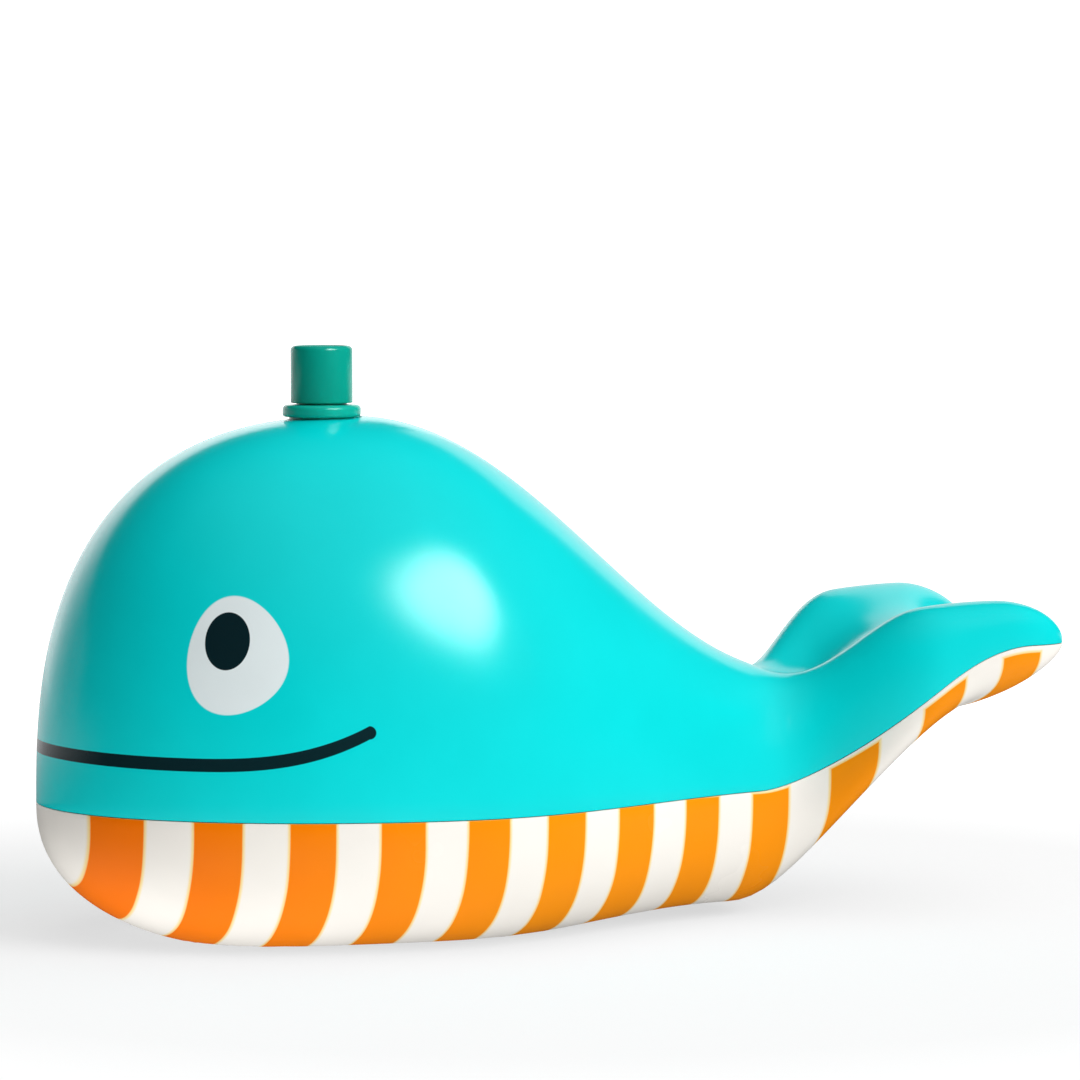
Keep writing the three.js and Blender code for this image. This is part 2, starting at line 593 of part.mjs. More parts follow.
// Air tube: straight down from the valve's barb, one bend, then along the floor to the diffuser.
function airTube() {
  const lean = tubeSlope.z / tubeSlope.x;
  const start = barbRoot.clone().addScaledVector(tubeSlope, TUBE_RADIUS * lean + 2 * CLEARANCE);
  const floorPoint = (x) => new THREE.Vector3(x, 0, TUBE_FLOOR_HEIGHT);
  const path = new THREE.CatmullRomCurve3([
    start,
    start.clone().addScaledVector(tubeSlope, BARB_LENGTH),
    start.clone().lerp(tubeCorner, 0.5),
    tubeCorner.clone().addScaledVector(tubeSlope, -TUBE_BEND),
    floorPoint(tubeCorner.x - TUBE_BEND),
    floorPoint(tubeEnd + BARB_LENGTH),
    floorPoint(tubeEnd),
  ]);
  const ring = new THREE.Shape().absarc(0, 0, TUBE_RADIUS, 0, 2 * Math.PI);
  ring.holes.push(new THREE.Path().absarc(0, 0, TUBE_BORE_RADIUS, 0, 2 * Math.PI, true));
  return new THREE.ExtrudeGeometry(ring, {
    steps: 24, curveSegments: 5, bevelEnabled: false, extrudePath: path,
  });
}

// Open cup with a barb in its side.
function diffuserBody() {
  const inner = DIFFUSER_RADIUS - DIFFUSER_WALL;
  const cup = solid(turned([
    [DIFFUSER_RADIUS, diffuserBase], [DIFFUSER_RADIUS, diffuserTop], [inner, diffuserTop],
    [inner, diffuserBase + DIFFUSER_WALL], [0, diffuserBase + DIFFUSER_WALL], [0, diffuserBase]])
    .translate(SPOUT_X, 0, 0));
  const barbPoint = (distance) => new THREE.Vector3(diffuserSide + distance, 0, TUBE_FLOOR_HEIGHT);
  return cup.add(rodBetween(barbPoint(-DIFFUSER_WALL / 2), barbPoint(BARB_LENGTH), barbRadius))
    .subtract(rodBetween(barbPoint(-2 * DIFFUSER_WALL), barbPoint(2 * BARB_LENGTH), BARB_BORE_RADIUS));
}

// Perforated lid of the diffuser, with a spigot that enters the cup.
function diffuserCap() {
  const spigot = DIFFUSER_RADIUS - DIFFUSER_WALL - CLEARANCE;
  const spigotInner = spigot - DIFFUSER_WALL;
  const top = capBase + CAP_THICKNESS;
  const lid = solid(turned([
    [spigot, capBase - CAP_SPIGOT], [spigot, capBase], [DIFFUSER_RADIUS, capBase],
    [DIFFUSER_RADIUS, top - EDGE_BREAK], [DIFFUSER_RADIUS - EDGE_BREAK, top], [0, top], [0, capBase],
    [spigotInner, capBase], [spigotInner, capBase - CAP_SPIGOT]]));
  const places = [[0, 0]];
  for (let ring = 1; ring <= CAP_HOLE_RINGS; ring += 1) {
    const count = 6 * ring;
    for (let k = 0; k < count; k += 1) {
      const angle = (2 * Math.PI * k) / count;
      places.push([ring * CAP_HOLE_PITCH * Math.cos(angle), ring * CAP_HOLE_PITCH * Math.sin(angle)]);
    }
  }
  const holes = places.map(([x, y]) => solid(
    turned([[CAP_HOLE_RADIUS, 0], [CAP_HOLE_RADIUS, 2 * top], [0, 2 * top], [0, 0]], SMALL_SIDES / 2)
      .translate(x, y, 0)));
  const drilled = holes.reduce((body, hole) => body.subtract(hole), lid);
  return surface(drilled).translate(SPOUT_X, 0, 0);
}

function piece(name, shape, [color, roughness]) {
  const geometry = shape.isBufferGeometry ? shape : surface(shape);
  const material = new THREE.MeshStandardMaterial({ color, roughness, metalness: 0 });
  const mesh = new THREE.Mesh(geometry, material);
  mesh.name = name;
  return mesh;
}

const whale = new THREE.Group();
whale.name = 'bubble_whale';
whale.add(
  piece('upper_shell', upperShell(), TURQUOISE),
  piece('lower_shell', lowerShell(), IVORY),
  piece('spout_grommet', spoutGrommet(), SILICONE_GREEN),
  piece('blowhole_spout', blowholeSpout(), SPOUT_GREEN),
  piece('foam_screen', foamScreen(), MESH_WHITE),
  piece('screen_ring', screenRing(), SPOUT_GREEN),
  piece('mouthpiece', mouthpiece(), WHITE_PLASTIC),
  piece('mouthpiece_seal', mouthpieceSeal(), CLEAR_SILICONE),
  piece('valve_chamber', valveChamber(), WHITE_PLASTIC),
  piece('valve_flap', valveFlap(), CLEAR_SILICONE),
  piece('air_tube', airTube(), CLEAR_SILICONE),
  piece('diffuser_body', diffuserBody(), WHITE_PLASTIC),
  piece('diffuser_cap', diffuserCap(), WHITE_PLASTIC),
);

export default whale;
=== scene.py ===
# %% [markdown]
# # A mouth-blown bath whale
# This lesson dresses the CAD frame of a bath toy: a hollow whale with a spout on its
# head, a mouthpiece at its tail and a small air path between them inside.
# The frame gives every piece its place. Its flat facets would show on glossy plastic, so all
# pieces but the net are rebuilt here with finer surfaces, and each one rides on the CAD body
# that it belongs to.

# %% Load the frame
import math

import bpy
import numpy as np
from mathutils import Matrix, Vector


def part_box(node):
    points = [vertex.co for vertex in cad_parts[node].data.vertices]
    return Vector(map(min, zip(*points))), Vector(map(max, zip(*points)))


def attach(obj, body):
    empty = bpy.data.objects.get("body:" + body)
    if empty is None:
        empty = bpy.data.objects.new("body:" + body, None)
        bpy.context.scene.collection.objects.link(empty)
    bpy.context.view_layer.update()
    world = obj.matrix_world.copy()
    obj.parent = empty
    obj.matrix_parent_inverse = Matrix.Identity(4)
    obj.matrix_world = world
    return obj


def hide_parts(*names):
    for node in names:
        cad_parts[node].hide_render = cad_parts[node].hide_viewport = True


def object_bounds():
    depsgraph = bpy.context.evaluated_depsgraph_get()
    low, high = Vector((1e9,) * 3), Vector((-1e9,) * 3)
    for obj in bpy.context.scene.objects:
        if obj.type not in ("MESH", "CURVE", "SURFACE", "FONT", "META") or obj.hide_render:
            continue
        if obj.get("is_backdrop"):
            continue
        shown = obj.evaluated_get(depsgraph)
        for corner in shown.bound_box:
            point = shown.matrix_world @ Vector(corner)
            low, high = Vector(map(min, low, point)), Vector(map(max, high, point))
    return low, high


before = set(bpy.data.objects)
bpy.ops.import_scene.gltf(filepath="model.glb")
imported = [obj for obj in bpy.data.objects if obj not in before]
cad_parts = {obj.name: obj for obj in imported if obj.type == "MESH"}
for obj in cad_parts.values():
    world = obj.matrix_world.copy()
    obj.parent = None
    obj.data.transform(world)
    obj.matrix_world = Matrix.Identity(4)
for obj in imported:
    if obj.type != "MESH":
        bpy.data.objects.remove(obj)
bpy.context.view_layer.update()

MM = 0.001

# %% [markdown]
# The camera stands low beside the head and looks slightly down, so the whale's side fills the
# picture and the far fluke shows behind the near one. A short lens close by would swell the
# head, so a long lens stands well back.

# %% Camera
CAMERA_PLACE = (-0.21995, -0.69967, 0.11025)
LOOK_DOWN = 3.6
LOOK_ASIDE = -17.43
LENS = 145.3
SENSOR = 36

scene = bpy.context.scene
bpy.ops.object.camera_add(
    location=CAMERA_PLACE,
    rotation=(math.radians(90 - LOOK_DOWN), 0, math.radians(LOOK_ASIDE)),
)
camera = bpy.context.object
camera.data.lens = LENS
camera.data.sensor_width = SENSOR
scene.camera = camera
scene.view_settings.view_transform = "Standard"
print("camera stands", round(Vector(CAMERA_PLACE).length, 2), "m from the whale")

# %% [markdown]
# The whale's form comes from a few sizes in millimetres, the same ones as in CAD, so that the
# fine skin lies where the solid does. Some are stations along its length: those on the head
# count back from the nose, and those on the tail count forward from the tips of the flukes.

# %% Sizes of the whale
LENGTH = 172.0
HEAD_WIDTH, WAIST_WIDTH, FLUKE_SPAN = 82.2, 32.6, 53.8
HEAD_HEIGHT, WAIST_HEIGHT, FLUKE_CROWN = 85.1, 40.4, 55.2
SEAM_HEIGHT, FLUKE_SEAM_HEIGHT = 22.4, 46.3
BELLY_DEPTH, REAR_BELLY_DEPTH, FLUKE_BELLY_DEPTH = 24.8, 20.8, 10.4
NOTCH_DEPTH, NOTCH_DROP = 12.0, 6.2
TIP_ROUNDING, TIP_TAPER, VALLEY_SHARE = 12.1, 0.22, 0.5

# Stations back from the nose.
WIDEST, SUMMIT, KEEL, BELLY_RISE, SPOUT_STATION = 61.1, 53.6, 41.5, 64.5, 47.8

# Stations forward from the tips of the flukes.
WAIST, FLARE, TAIL, FLUKE, SEAM_LEVEL = 39.2, 50.4, 53.6, 23.0, 7.5
CREST_START, CREST_FULL = 52.5, 24.9
VALLEY_START, VALLEY_FULL = 52.2, 33.5
NOTCH_START, DIP_START = 36.0, 26.0

# Powers of the rounded curves, where 2 is an ellipse.
NOSE_PLAN, NOSE_PROFILE, NOSE_BELLY = 2.0, 2.5, 2.25
DOME_SIDE, DOME_TOP, FLUKE_POWER = 2.4, 2.2, 4.6
BELLY_SIDE, BELLY_BASE = 2.1, 2.5

# Walls, the play between neighbours in CAD, and the narrower gap that shows along the seam.
WALL = 2.0
CLEARANCE = 0.3
SEAM_GAP = 0.14
print("whale of", LENGTH, "mm, with walls of", WALL, "mm")

# %% [markdown]
# A shader is a chain of small nodes, which could be placed by hand in the shader editor. A
# script needs the same few lines for each of them, so these helpers add one node at a time:
# each value is either a number or the output of an earlier node, which is then linked.

# %% Shader helpers
def plug(tree, socket, value):
    """Links an earlier node's output to a socket, or sets the socket to a plain value."""
    if isinstance(value, bpy.types.NodeSocket):
        tree.links.new(value, socket)
    elif value is not None:
        socket.default_value = value


def add(tree, kind, *values, out=0, **settings):
    """Adds a node, fills its inputs in order, and returns one of its outputs."""
    node = tree.nodes.new(kind)
    for key, value in settings.items():
        setattr(node, key, value)
    for socket, value in zip(node.inputs, values):
        plug(tree, socket, value)
    return node.outputs[out]


def calc(tree, operation, a, b=0.0):
    return add(tree, "ShaderNodeMath", a, b, operation=operation)


def ramp(tree, value, start, end, low=0.0, high=1.0, **settings):
    """An even change from low to high while the value goes from start to end."""
    return add(tree, "ShaderNodeMapRange", value, start, end, low, high, **settings)


def step_down(tree, value, start, end):
    """1 below start, 0 above end, with a smooth change between."""
    return ramp(tree, value, start, end, 1.0, 0.0, interpolation_type="SMOOTHSTEP")


def blend_colours(tree, factor, first, second):
    return add(tree, "ShaderNodeMix", factor, *[None] * 5, first, second, data_type="RGBA", out=2)


def separate(tree, vector):
    return add(tree, "ShaderNodeSeparateXYZ", vector).node.outputs


def on_object(tree):
    return add(tree, "ShaderNodeTexCoord", out="Object")


def seen_by(tree, ray):
    """1 for rays of one kind, 0 for all others."""
    return add(tree, "ShaderNodeLightPath", out=ray)


def show_nodes(name, tree):
    print(name, "has", len(tree.nodes), "nodes")


# %% [markdown]
# Each material has one main shader. Its colours are chosen as they look on a screen, from 0 to
# 255, and turned into the linear values that shaders count with.

# %% Material helpers
def shader(name):
    """A new material with its tree and its main shader."""
    material = bpy.data.materials.new(name)
    material.use_nodes = True
    tree = material.node_tree
    return material, tree, tree.nodes["Principled BSDF"]


def put(tree, main, **inputs):
    """Sets inputs of the main shader by name, with underscores for spaces."""
    for name, value in inputs.items():
        plug(tree, main.inputs[name.replace("_", " ")], value)


def grey(level):
    return (level, level, level, 1.0)


def linear(red, green, blue):
    """A display colour from 0 to 255 as the linear colour that shaders use."""
    parts = [c / 255 for c in (red, green, blue)]
    return (*[p / 12.92 if p < 0.04045 else ((p + 0.055) / 1.055) ** 2.4 for p in parts], 1.0)


# %% [markdown]
# Moulded plastic is never perfectly even: its gloss drifts a little over the surface and it
# has a faint ripple from cooling in the mould. Each material could have its own noise, but all
# these pieces are moulded alike, so one node group holds the effect for every plastic.

# %% Shared moulded surface
DRIFT_SCALE, RIPPLE_SCALE = 45.0, 160.0
GLOSS_DRIFT = 0.08
RIPPLE_DEPTH, RIPPLE_STRENGTH = 0.0002, 0.05
PLASTIC_IOR = 1.46

moulded = bpy.data.node_groups.new("moulded_surface", "ShaderNodeTree")
for label, way, kind in (
    ("Place", "INPUT", "Vector"), ("Gloss", "INPUT", "Float"), ("Ripple", "INPUT", "Float"),
    ("Roughness", "OUTPUT", "Float"), ("Normal", "OUTPUT", "Vector"), ("Tint", "OUTPUT", "Float"),
):
    moulded.interface.new_socket(label, in_out=way, socket_type="NodeSocket" + kind)
group_in = moulded.nodes.new("NodeGroupInput").outputs
group_out = moulded.nodes.new("NodeGroupOutput").inputs
drift = add(moulded, "ShaderNodeTexNoise", group_in["Place"], None, DRIFT_SCALE, 3.0)
ripple = add(moulded, "ShaderNodeTexNoise", group_in["Place"], None, RIPPLE_SCALE, 2.0)
uneven = calc(moulded, "MULTIPLY", calc(moulded, "SUBTRACT", drift, 0.5), GLOSS_DRIFT)
bump = add(moulded, "ShaderNodeBump", group_in["Ripple"], RIPPLE_DEPTH, None, ripple)
plug(moulded, group_out["Roughness"], calc(moulded, "ADD", group_in["Gloss"], uneven))
plug(moulded, group_out["Normal"], bump)
plug(moulded, group_out["Tint"], ramp(moulded, drift, 0.3, 0.7, 0.97, 1.03))
show_nodes("moulded_surface", moulded)


def use_moulded(tree, main, colour, gloss):
    """Wires the shared surface into a main shader under one colour."""
    node = tree.nodes.new("ShaderNodeGroup")
    node.node_tree = moulded
    plug(tree, node.inputs["Place"], on_object(tree))
    plug(tree, node.inputs["Gloss"], gloss)
    plug(tree, node.inputs["Ripple"], RIPPLE_STRENGTH)
    flat = colour if isinstance(colour, bpy.types.NodeSocket) else colour[:3]
    shade = add(tree, "ShaderNodeVectorMath", flat, operation="SCALE")
    plug(tree, shade.node.inputs["Scale"], node.outputs["Tint"])
    put(tree, main, Base_Color=shade, Roughness=node.outputs["Roughness"], Normal=node.outputs["Normal"])


# %% [markdown]
# The eyes are pad printed: a soft stamp lays white ink, then dark ink, on both sides of the
# head. A picture file could hold the print, but its edge would blur from close by. In side
# view each print is a leaning egg, so one group makes a sharp egg mask from its centre, its two
# half widths, its lean and how much it narrows to one end.

# %% Egg mask for the printed eyes
egg = bpy.data.node_groups.new("egg_mask", "ShaderNodeTree")
egg.interface.new_socket("Place", in_out="INPUT", socket_type="NodeSocketVector")
for label in ("Centre X", "Centre Z", "Half Long", "Half Short", "Lean", "Narrow"):
    egg.interface.new_socket(label, in_out="INPUT", socket_type="NodeSocketFloat")
egg.interface.new_socket("Mask", in_out="OUTPUT", socket_type="NodeSocketFloat")
egg_in = egg.nodes.new("NodeGroupInput").outputs
egg_out = egg.nodes.new("NodeGroupOutput").inputs


def times(a, b):
    return calc(egg, "MULTIPLY", a, b)


spot = separate(egg, egg_in["Place"])
from_x = calc(egg, "SUBTRACT", spot["X"], egg_in["Centre X"])
from_z = calc(egg, "SUBTRACT", spot["Z"], egg_in["Centre Z"])
cosine = calc(egg, "COSINE", egg_in["Lean"])
sine = calc(egg, "SINE", egg_in["Lean"])
along = calc(egg, "ADD", times(cosine, from_x), times(sine, from_z))
aside = calc(egg, "SUBTRACT", times(cosine, from_z), times(sine, from_x))
share = calc(egg, "DIVIDE", aside, egg_in["Half Short"])
reach = calc(egg, "SUBTRACT", 1.0, times(share, egg_in["Narrow"]))
length = calc(egg, "DIVIDE", along, times(reach, egg_in["Half Long"]))
radius = calc(egg, "SQRT", calc(egg, "ADD", times(length, length), times(share, share)))
plug(egg, egg_out["Mask"], step_down(egg, radius, 0.985, 1.015))
show_nodes("egg_mask", egg)


def egg_mask(tree, place, *sizes):
    node = tree.nodes.new("ShaderNodeGroup")
    node.node_tree = egg
    for socket, value in zip(node.inputs, (place, *sizes)):
        plug(tree, socket, value)
    return node.outputs["Mask"]


# %% [markdown]
# The mouth is one printed line that runs level round the snout and curls up into a smile. It
# could be a thin raised strip, but ink has next to no thickness, so it is a mask too. The mask
# measures how far a point lies from that line, and past its end how far from its last point,
# which makes the end round.

# %% Mask for the printed mouth
MOUTH_HEIGHT = 0.0315
MOUTH_MIDDLE, MOUTH_END = -0.068, -0.0407
CURL_RUN, CURL_RISE, CURL_POWER = 0.0274, 0.0053, 2.7
SNOUT_RUN, SNOUT_RISE = 0.017, 0.0004
LINE_INSIDE, LINE_OUTSIDE = 0.00098, 0.00113


def mouth_mask(tree, place):
    face = separate(tree, place)
    on_line = calc(tree, "MINIMUM", face["X"], MOUTH_END)
    past_end = calc(tree, "MAXIMUM", calc(tree, "SUBTRACT", face["X"], MOUTH_END), 0.0)
    from_middle = calc(tree, "SUBTRACT", on_line, MOUTH_MIDDLE)
    curl = calc(tree, "DIVIDE", calc(tree, "MAXIMUM", from_middle, 0.0), CURL_RUN)
    curl = calc(tree, "MULTIPLY", calc(tree, "POWER", curl, CURL_POWER), CURL_RISE)
    front = calc(tree, "DIVIDE", calc(tree, "MINIMUM", from_middle, 0.0), SNOUT_RUN)
    front = calc(tree, "MULTIPLY", calc(tree, "MULTIPLY", front, front), SNOUT_RISE)
    line_z = calc(tree, "ADD", calc(tree, "ADD", curl, front), MOUTH_HEIGHT)
    off_line = calc(tree, "SUBTRACT", face["Z"], line_z)
    squares = [calc(tree, "MULTIPLY", side, side) for side in (off_line, past_end)]
    distance = calc(tree, "SQRT", calc(tree, "ADD", *squares))
    return step_down(tree, distance, LINE_INSIDE, LINE_OUTSIDE)


# %% [markdown]
# The upper shell is glossy turquoise plastic. Faces with materials of their own would give the
# prints ragged edges, so they are masks laid over the base colour: the white of the eye, the
# pupil and the mouth. Being masks in side view, they show on both sides of the head.

# %% Turquoise material with the printed face
EYE_WHITE = (-0.05982, 0.04845, 0.00927, 0.00727, -1.833, 0.187)
PUPIL = (-0.06138, 0.05099, 0.00459, 0.00318, 1.328, -0.01)

turquoise, tree, main = shader("turquoise")
place = on_object(tree)
colour = blend_colours(tree, egg_mask(tree, place, *EYE_WHITE), linear(0, 225, 226), linear(243, 254, 255))
colour = blend_colours(tree, egg_mask(tree, place, *PUPIL), colour, linear(8, 36, 42))
colour = blend_colours(tree, mouth_mask(tree, place), colour, linear(8, 40, 45))
use_moulded(tree, main, colour, gloss=0.2)
put(tree, main, IOR=PLASTIC_IOR)
show_nodes("turquoise", tree)

# %% [markdown]
# The belly is ivory plastic. Orange stripes are sprayed through a mask with even slots, so
# they follow planes square to the whale's length. They could be laid out on a flat map of the
# belly, but planes in space keep them straight where the belly curves. The mask leaves a narrow
# bare edge under the seam, wider at the tail, and the paint feathers into a thin pale fringe.

# %% Masks for the sprayed stripes
STRIPE = 0.007
FIRST_STRIPE = -0.08097
STRIPES_START, STRIPES_END = -0.8 * STRIPE, 22.6 * STRIPE
WAVER_SCALE, WAVER = 70.0, 0.0005
BARE_START, BARE_FULL, BARE_EDGE = 0.02, 0.06, 0.0011
PAINT_EDGE, FRINGE = 0.0001, 0.0006


def stripe_masks(tree, place):
    """Masks of the paint and of its fringe."""
    belly = separate(tree, place)
    waver = add(tree, "ShaderNodeTexNoise", place, None, WAVER_SCALE, 1.0)
    waver = calc(tree, "MULTIPLY", calc(tree, "SUBTRACT", waver, 0.5), WAVER)
    along = calc(tree, "SUBTRACT", calc(tree, "ADD", belly["X"], waver), FIRST_STRIPE + STRIPE / 2)
    from_middle = calc(tree, "PINGPONG", along, STRIPE)
    tail_start, tail_end = [(LENGTH / 2 - station) * MM for station in (TAIL, SEAM_LEVEL)]
    climb = calc(tree, "COSINE", ramp(tree, belly["X"], tail_start, tail_end, 0.0, math.pi))
    half_rise = (FLUKE_SEAM_HEIGHT - SEAM_HEIGHT) / 2 * MM
    seam_z = calc(tree, "SUBTRACT", SEAM_HEIGHT * MM + half_rise, calc(tree, "MULTIPLY", climb, half_rise))
    bare_edge = ramp(tree, belly["X"], BARE_START, BARE_FULL, 0.0, BARE_EDGE)
    above_mask = calc(tree, "SUBTRACT", calc(tree, "ADD", belly["Z"], bare_edge), seam_z)
    from_edge = calc(tree, "MAXIMUM", calc(tree, "SUBTRACT", from_middle, STRIPE / 2), above_mask)
    after_first = calc(tree, "GREATER_THAN", along, STRIPES_START)
    before_last = calc(tree, "LESS_THAN", along, STRIPES_END)
    on_belly = calc(tree, "MULTIPLY", after_first, before_last)
    paint = step_down(tree, from_edge, -PAINT_EDGE, PAINT_EDGE)
    fringe = step_down(tree, from_edge, PAINT_EDGE, FRINGE)
    return calc(tree, "MULTIPLY", paint, on_belly), calc(tree, "MULTIPLY", fringe, on_belly)


# %% [markdown]
# The orange is painted redder round the snout, a slow blend along the length: this is painted
# shade for the weaker light on the head's front. The paint is satin, so it mirrors less than the
# turquoise. The light that the belly throws back is set to a plain grey, so the table stays neutral.

# %% Ivory material with stripes
SHADED_SNOUT, LIT_ORANGE = -0.075, -0.01

ivory, tree, main = shader("ivory")
place = on_object(tree)
paint, fringe = stripe_masks(tree, place)
# Painted shade: the orange turns redder toward the snout, where less light falls.
snout_shade = ramp(tree, separate(tree, place)["X"], SHADED_SNOUT, LIT_ORANGE)
orange = blend_colours(tree, snout_shade, linear(255, 120, 0), linear(255, 150, 0))
colour = blend_colours(tree, fringe, linear(250, 245, 237), linear(255, 224, 150))
colour = blend_colours(tree, paint, colour, orange)
colour = blend_colours(tree, seen_by(tree, "Is Diffuse Ray"), colour, grey(0.3))
use_moulded(tree, main, colour, gloss=0.26)
put(tree, main, IOR=PLASTIC_IOR, Specular_IOR_Level=0.2)
show_nodes("ivory", tree)

# %% [markdown]
# The whale's skin is one smooth surface from the blunt head to the raised flukes. It could be
# sculpted, but a formula is shared with the CAD and gives the same skin on every run. A station
# is a distance from the nose; across, a value runs from -1 at one side of the seam to +1 at the
# other. Each size of the cross-section eases from one value to the next.

# %% Shape of the whale
def ease(value, start, end):
    t = np.clip((value - start) / (end - start), 0, 1)
    return (1 - np.cos(np.pi * t)) / 2


def snout(station, reach, power):
    t = np.clip(1 - station / reach, 0, 1)
    return (1 - t**power) ** (1 / power)


def section(station):
    """Sizes of the cross-section at a station, in millimetres."""
    before = LENGTH - station

    def back(start, end):
        return ease(station, LENGTH - start, LENGTH - end)

    def near_tip(reach):
        return np.clip(1 - before / reach, 0, 1) ** 2

    tail = back(TAIL, FLUKE)
    tip = np.sqrt(np.clip(1 - near_tip(TIP_ROUNDING), 0, 1))
    head_width = (HEAD_WIDTH - WAIST_WIDTH) * (1 - ease(station, WIDEST, LENGTH - WAIST))
    width = WAIST_WIDTH + head_width + (FLUKE_SPAN - WAIST_WIDTH) * back(FLARE, FLUKE)
    seam = SEAM_HEIGHT + (FLUKE_SEAM_HEIGHT - SEAM_HEIGHT) * back(TAIL, SEAM_LEVEL)
    head_rise = (HEAD_HEIGHT - WAIST_HEIGHT) * (1 - ease(station, SUMMIT, LENGTH - WAIST))
    crown = WAIST_HEIGHT + head_rise + (FLUKE_CROWN - WAIST_HEIGHT) * back(CREST_START, CREST_FULL)
    rear_loss = (BELLY_DEPTH - REAR_BELLY_DEPTH) * ease(station, BELLY_RISE, LENGTH - TAIL)
    depth = BELLY_DEPTH - rear_loss - (REAR_BELLY_DEPTH - FLUKE_BELLY_DEPTH) * tail
    rise = (crown - seam) * snout(station, SUMMIT, NOSE_PROFILE) * tip
    return {
        "half": width / 2 * snout(station, WIDEST, NOSE_PLAN) * (1 - TIP_TAPER * (1 - tip)),
        "seam": seam,
        "rise": rise,
        "depth": depth * snout(station, KEEL, NOSE_BELLY) * tip,
        "valley": VALLEY_SHARE * rise * back(VALLEY_START, VALLEY_FULL),
        "dip": NOTCH_DROP * near_tip(DIP_START),
        "notch": NOTCH_DEPTH * near_tip(NOTCH_START),
        "side": DOME_SIDE + (FLUKE_POWER - DOME_SIDE) * tail,
        "top": DOME_TOP + (FLUKE_POWER - DOME_TOP) * tail,
    }


def upper_height(s, across, middle):
    bulge = np.clip(1 - np.abs(across) ** s["side"], 0, 1) ** (1 / s["top"])
    rise = s["rise"] + CLEARANCE - SEAM_GAP
    return SEAM_GAP + s["seam"] + rise * bulge - (s["valley"] + s["dip"]) * middle


def lower_height(s, across, middle):
    bulge = np.clip(1 - np.abs(across) ** BELLY_SIDE, 0, 1) ** (1 / BELLY_BASE)
    return np.maximum(s["seam"] - s["depth"] * bulge - s["dip"] * middle, 0)


print("half width of the head:", round(float(section(WIDEST)["half"]), 1), "mm")


# %% [markdown]
# By hand, a piece is shaped in edit mode and finished in object mode. These helpers change
# between the two, apply a modifier, and tie a finished piece to its CAD body. An operator acts
# on all that is selected, so they first leave only one piece selected.

# %% Modelling helpers
def only(obj):
    """Leaves one object selected and active."""
    bpy.ops.object.select_all(action="DESELECT")
    obj.select_set(True)
    bpy.context.view_layer.objects.active = obj


def edit_all(obj):
    """Opens an object with all of it selected."""
    only(obj)
    bpy.ops.object.mode_set(mode="EDIT")
    bpy.ops.mesh.select_all(action="SELECT")


def to_object():
    bpy.ops.object.mode_set(mode="OBJECT")


def apply_modifier(obj, kind, **settings):
    only(obj)
    modifier = obj.modifiers.new(kind.lower(), kind)
    for key, value in settings.items():
        setattr(modifier, key, value)
    bpy.ops.object.modifier_apply(modifier=modifier.name)


def finish_piece(obj, body, material, node, angle=35):
    """Smooths a finished piece, gives it its material and ties it to the frame."""
    only(obj)
    bpy.ops.object.shade_smooth_by_angle(angle=math.radians(angle))
    obj.data.materials.clear()
    obj.data.materials.append(material)
    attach(obj, body)
    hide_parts(node)
    print(obj.name, "has", len(obj.data.polygons), "faces")


# %% [markdown]
# A real shell has one even wall. It could be carved out of a solid, but a sheet comes closer to
# it, so the shell starts as a flat grid that is pulled over the whale's form, as a thin sheet is
# drawn over a mould. The grid's own two directions say where each of its points goes. The row at
# the snout comes together in one point, so its copies are merged, and a Solidify modifier then
# gives the sheet the wall's thickness on its inner side.

# %% Draw a shell over the whale
ROWS, COLUMNS = 132, 84
SAME_POINT = 1e-6


def hull_shell(name, height_of):
    bpy.ops.mesh.primitive_grid_add(x_subdivisions=ROWS, y_subdivisions=COLUMNS, size=1)
    obj = bpy.context.object
    obj.name = name
    flat = np.zeros(len(obj.data.vertices) * 3)
    obj.data.vertices.foreach_get("co", flat)
    flat = np.clip(flat.reshape(-1, 3) + 0.5, 0, 1)
    station = LENGTH * (1 - np.cos(np.pi * flat[:, 0])) / 2
    across = np.sin(np.pi * flat[:, 1] - np.pi / 2)
    middle = (1 - across**2) ** 2
    s = section(station)
    x = station - LENGTH / 2 - s["notch"] * middle
    points = np.stack([x, across * s["half"], height_of(s, across, middle)], 1)
    obj.data.vertices.foreach_set("co", (points * MM).ravel())
    edit_all(obj)
    bpy.ops.mesh.remove_doubles(threshold=SAME_POINT)
    bpy.ops.mesh.normals_make_consistent(inside=False)
    to_object()
    apply_modifier(obj, "SOLIDIFY", thickness=WALL * MM, offset=-1, use_even_offset=True)
    return obj


# %% [markdown]
# Plain rods and blocks are joined to a piece or cut out of it. Round pieces could be spun from a
# profile, but a spin leaves a seam to close. So a turned piece begins as a circle whose edge is
# pulled up and scaled from one ring to the next, the way a potter raises a wall, and its last
# ring joins the first.

# %% Rods, blocks and turned pieces
def begin(name):
    """Names the shape that was just added and opens it."""
    obj = bpy.context.object
    obj.name = name
    edit_all(obj)
    return obj


def settle(place, along_x=False, tilt=0.0):
    """Lays an open shape along X if asked, lifts its far end by a tilt, and moves it home."""
    if along_x:
        bpy.ops.transform.rotate(value=math.radians(tilt - 90), orient_axis="Y", center_override=(0, 0, 0))
    bpy.ops.transform.translate(value=[v * MM for v in place])
    to_object()


def rod(name, radius, low, high, place=(0, 0, 0), sides=64, **lay):
    bpy.ops.mesh.primitive_cylinder_add(vertices=sides, radius=radius * MM, depth=(high - low) * MM)
    obj = begin(name)
    bpy.ops.transform.translate(value=(0, 0, (low + high) / 2 * MM))
    settle(place, **lay)
    return obj


def block(name, low, high):
    """A plain box between two corners."""
    bpy.ops.mesh.primitive_cube_add(size=MM)
    obj = begin(name)
    bpy.ops.transform.resize(value=[b - a for a, b in zip(low, high)])
    settle([(a + b) / 2 for a, b in zip(low, high)])
    return obj


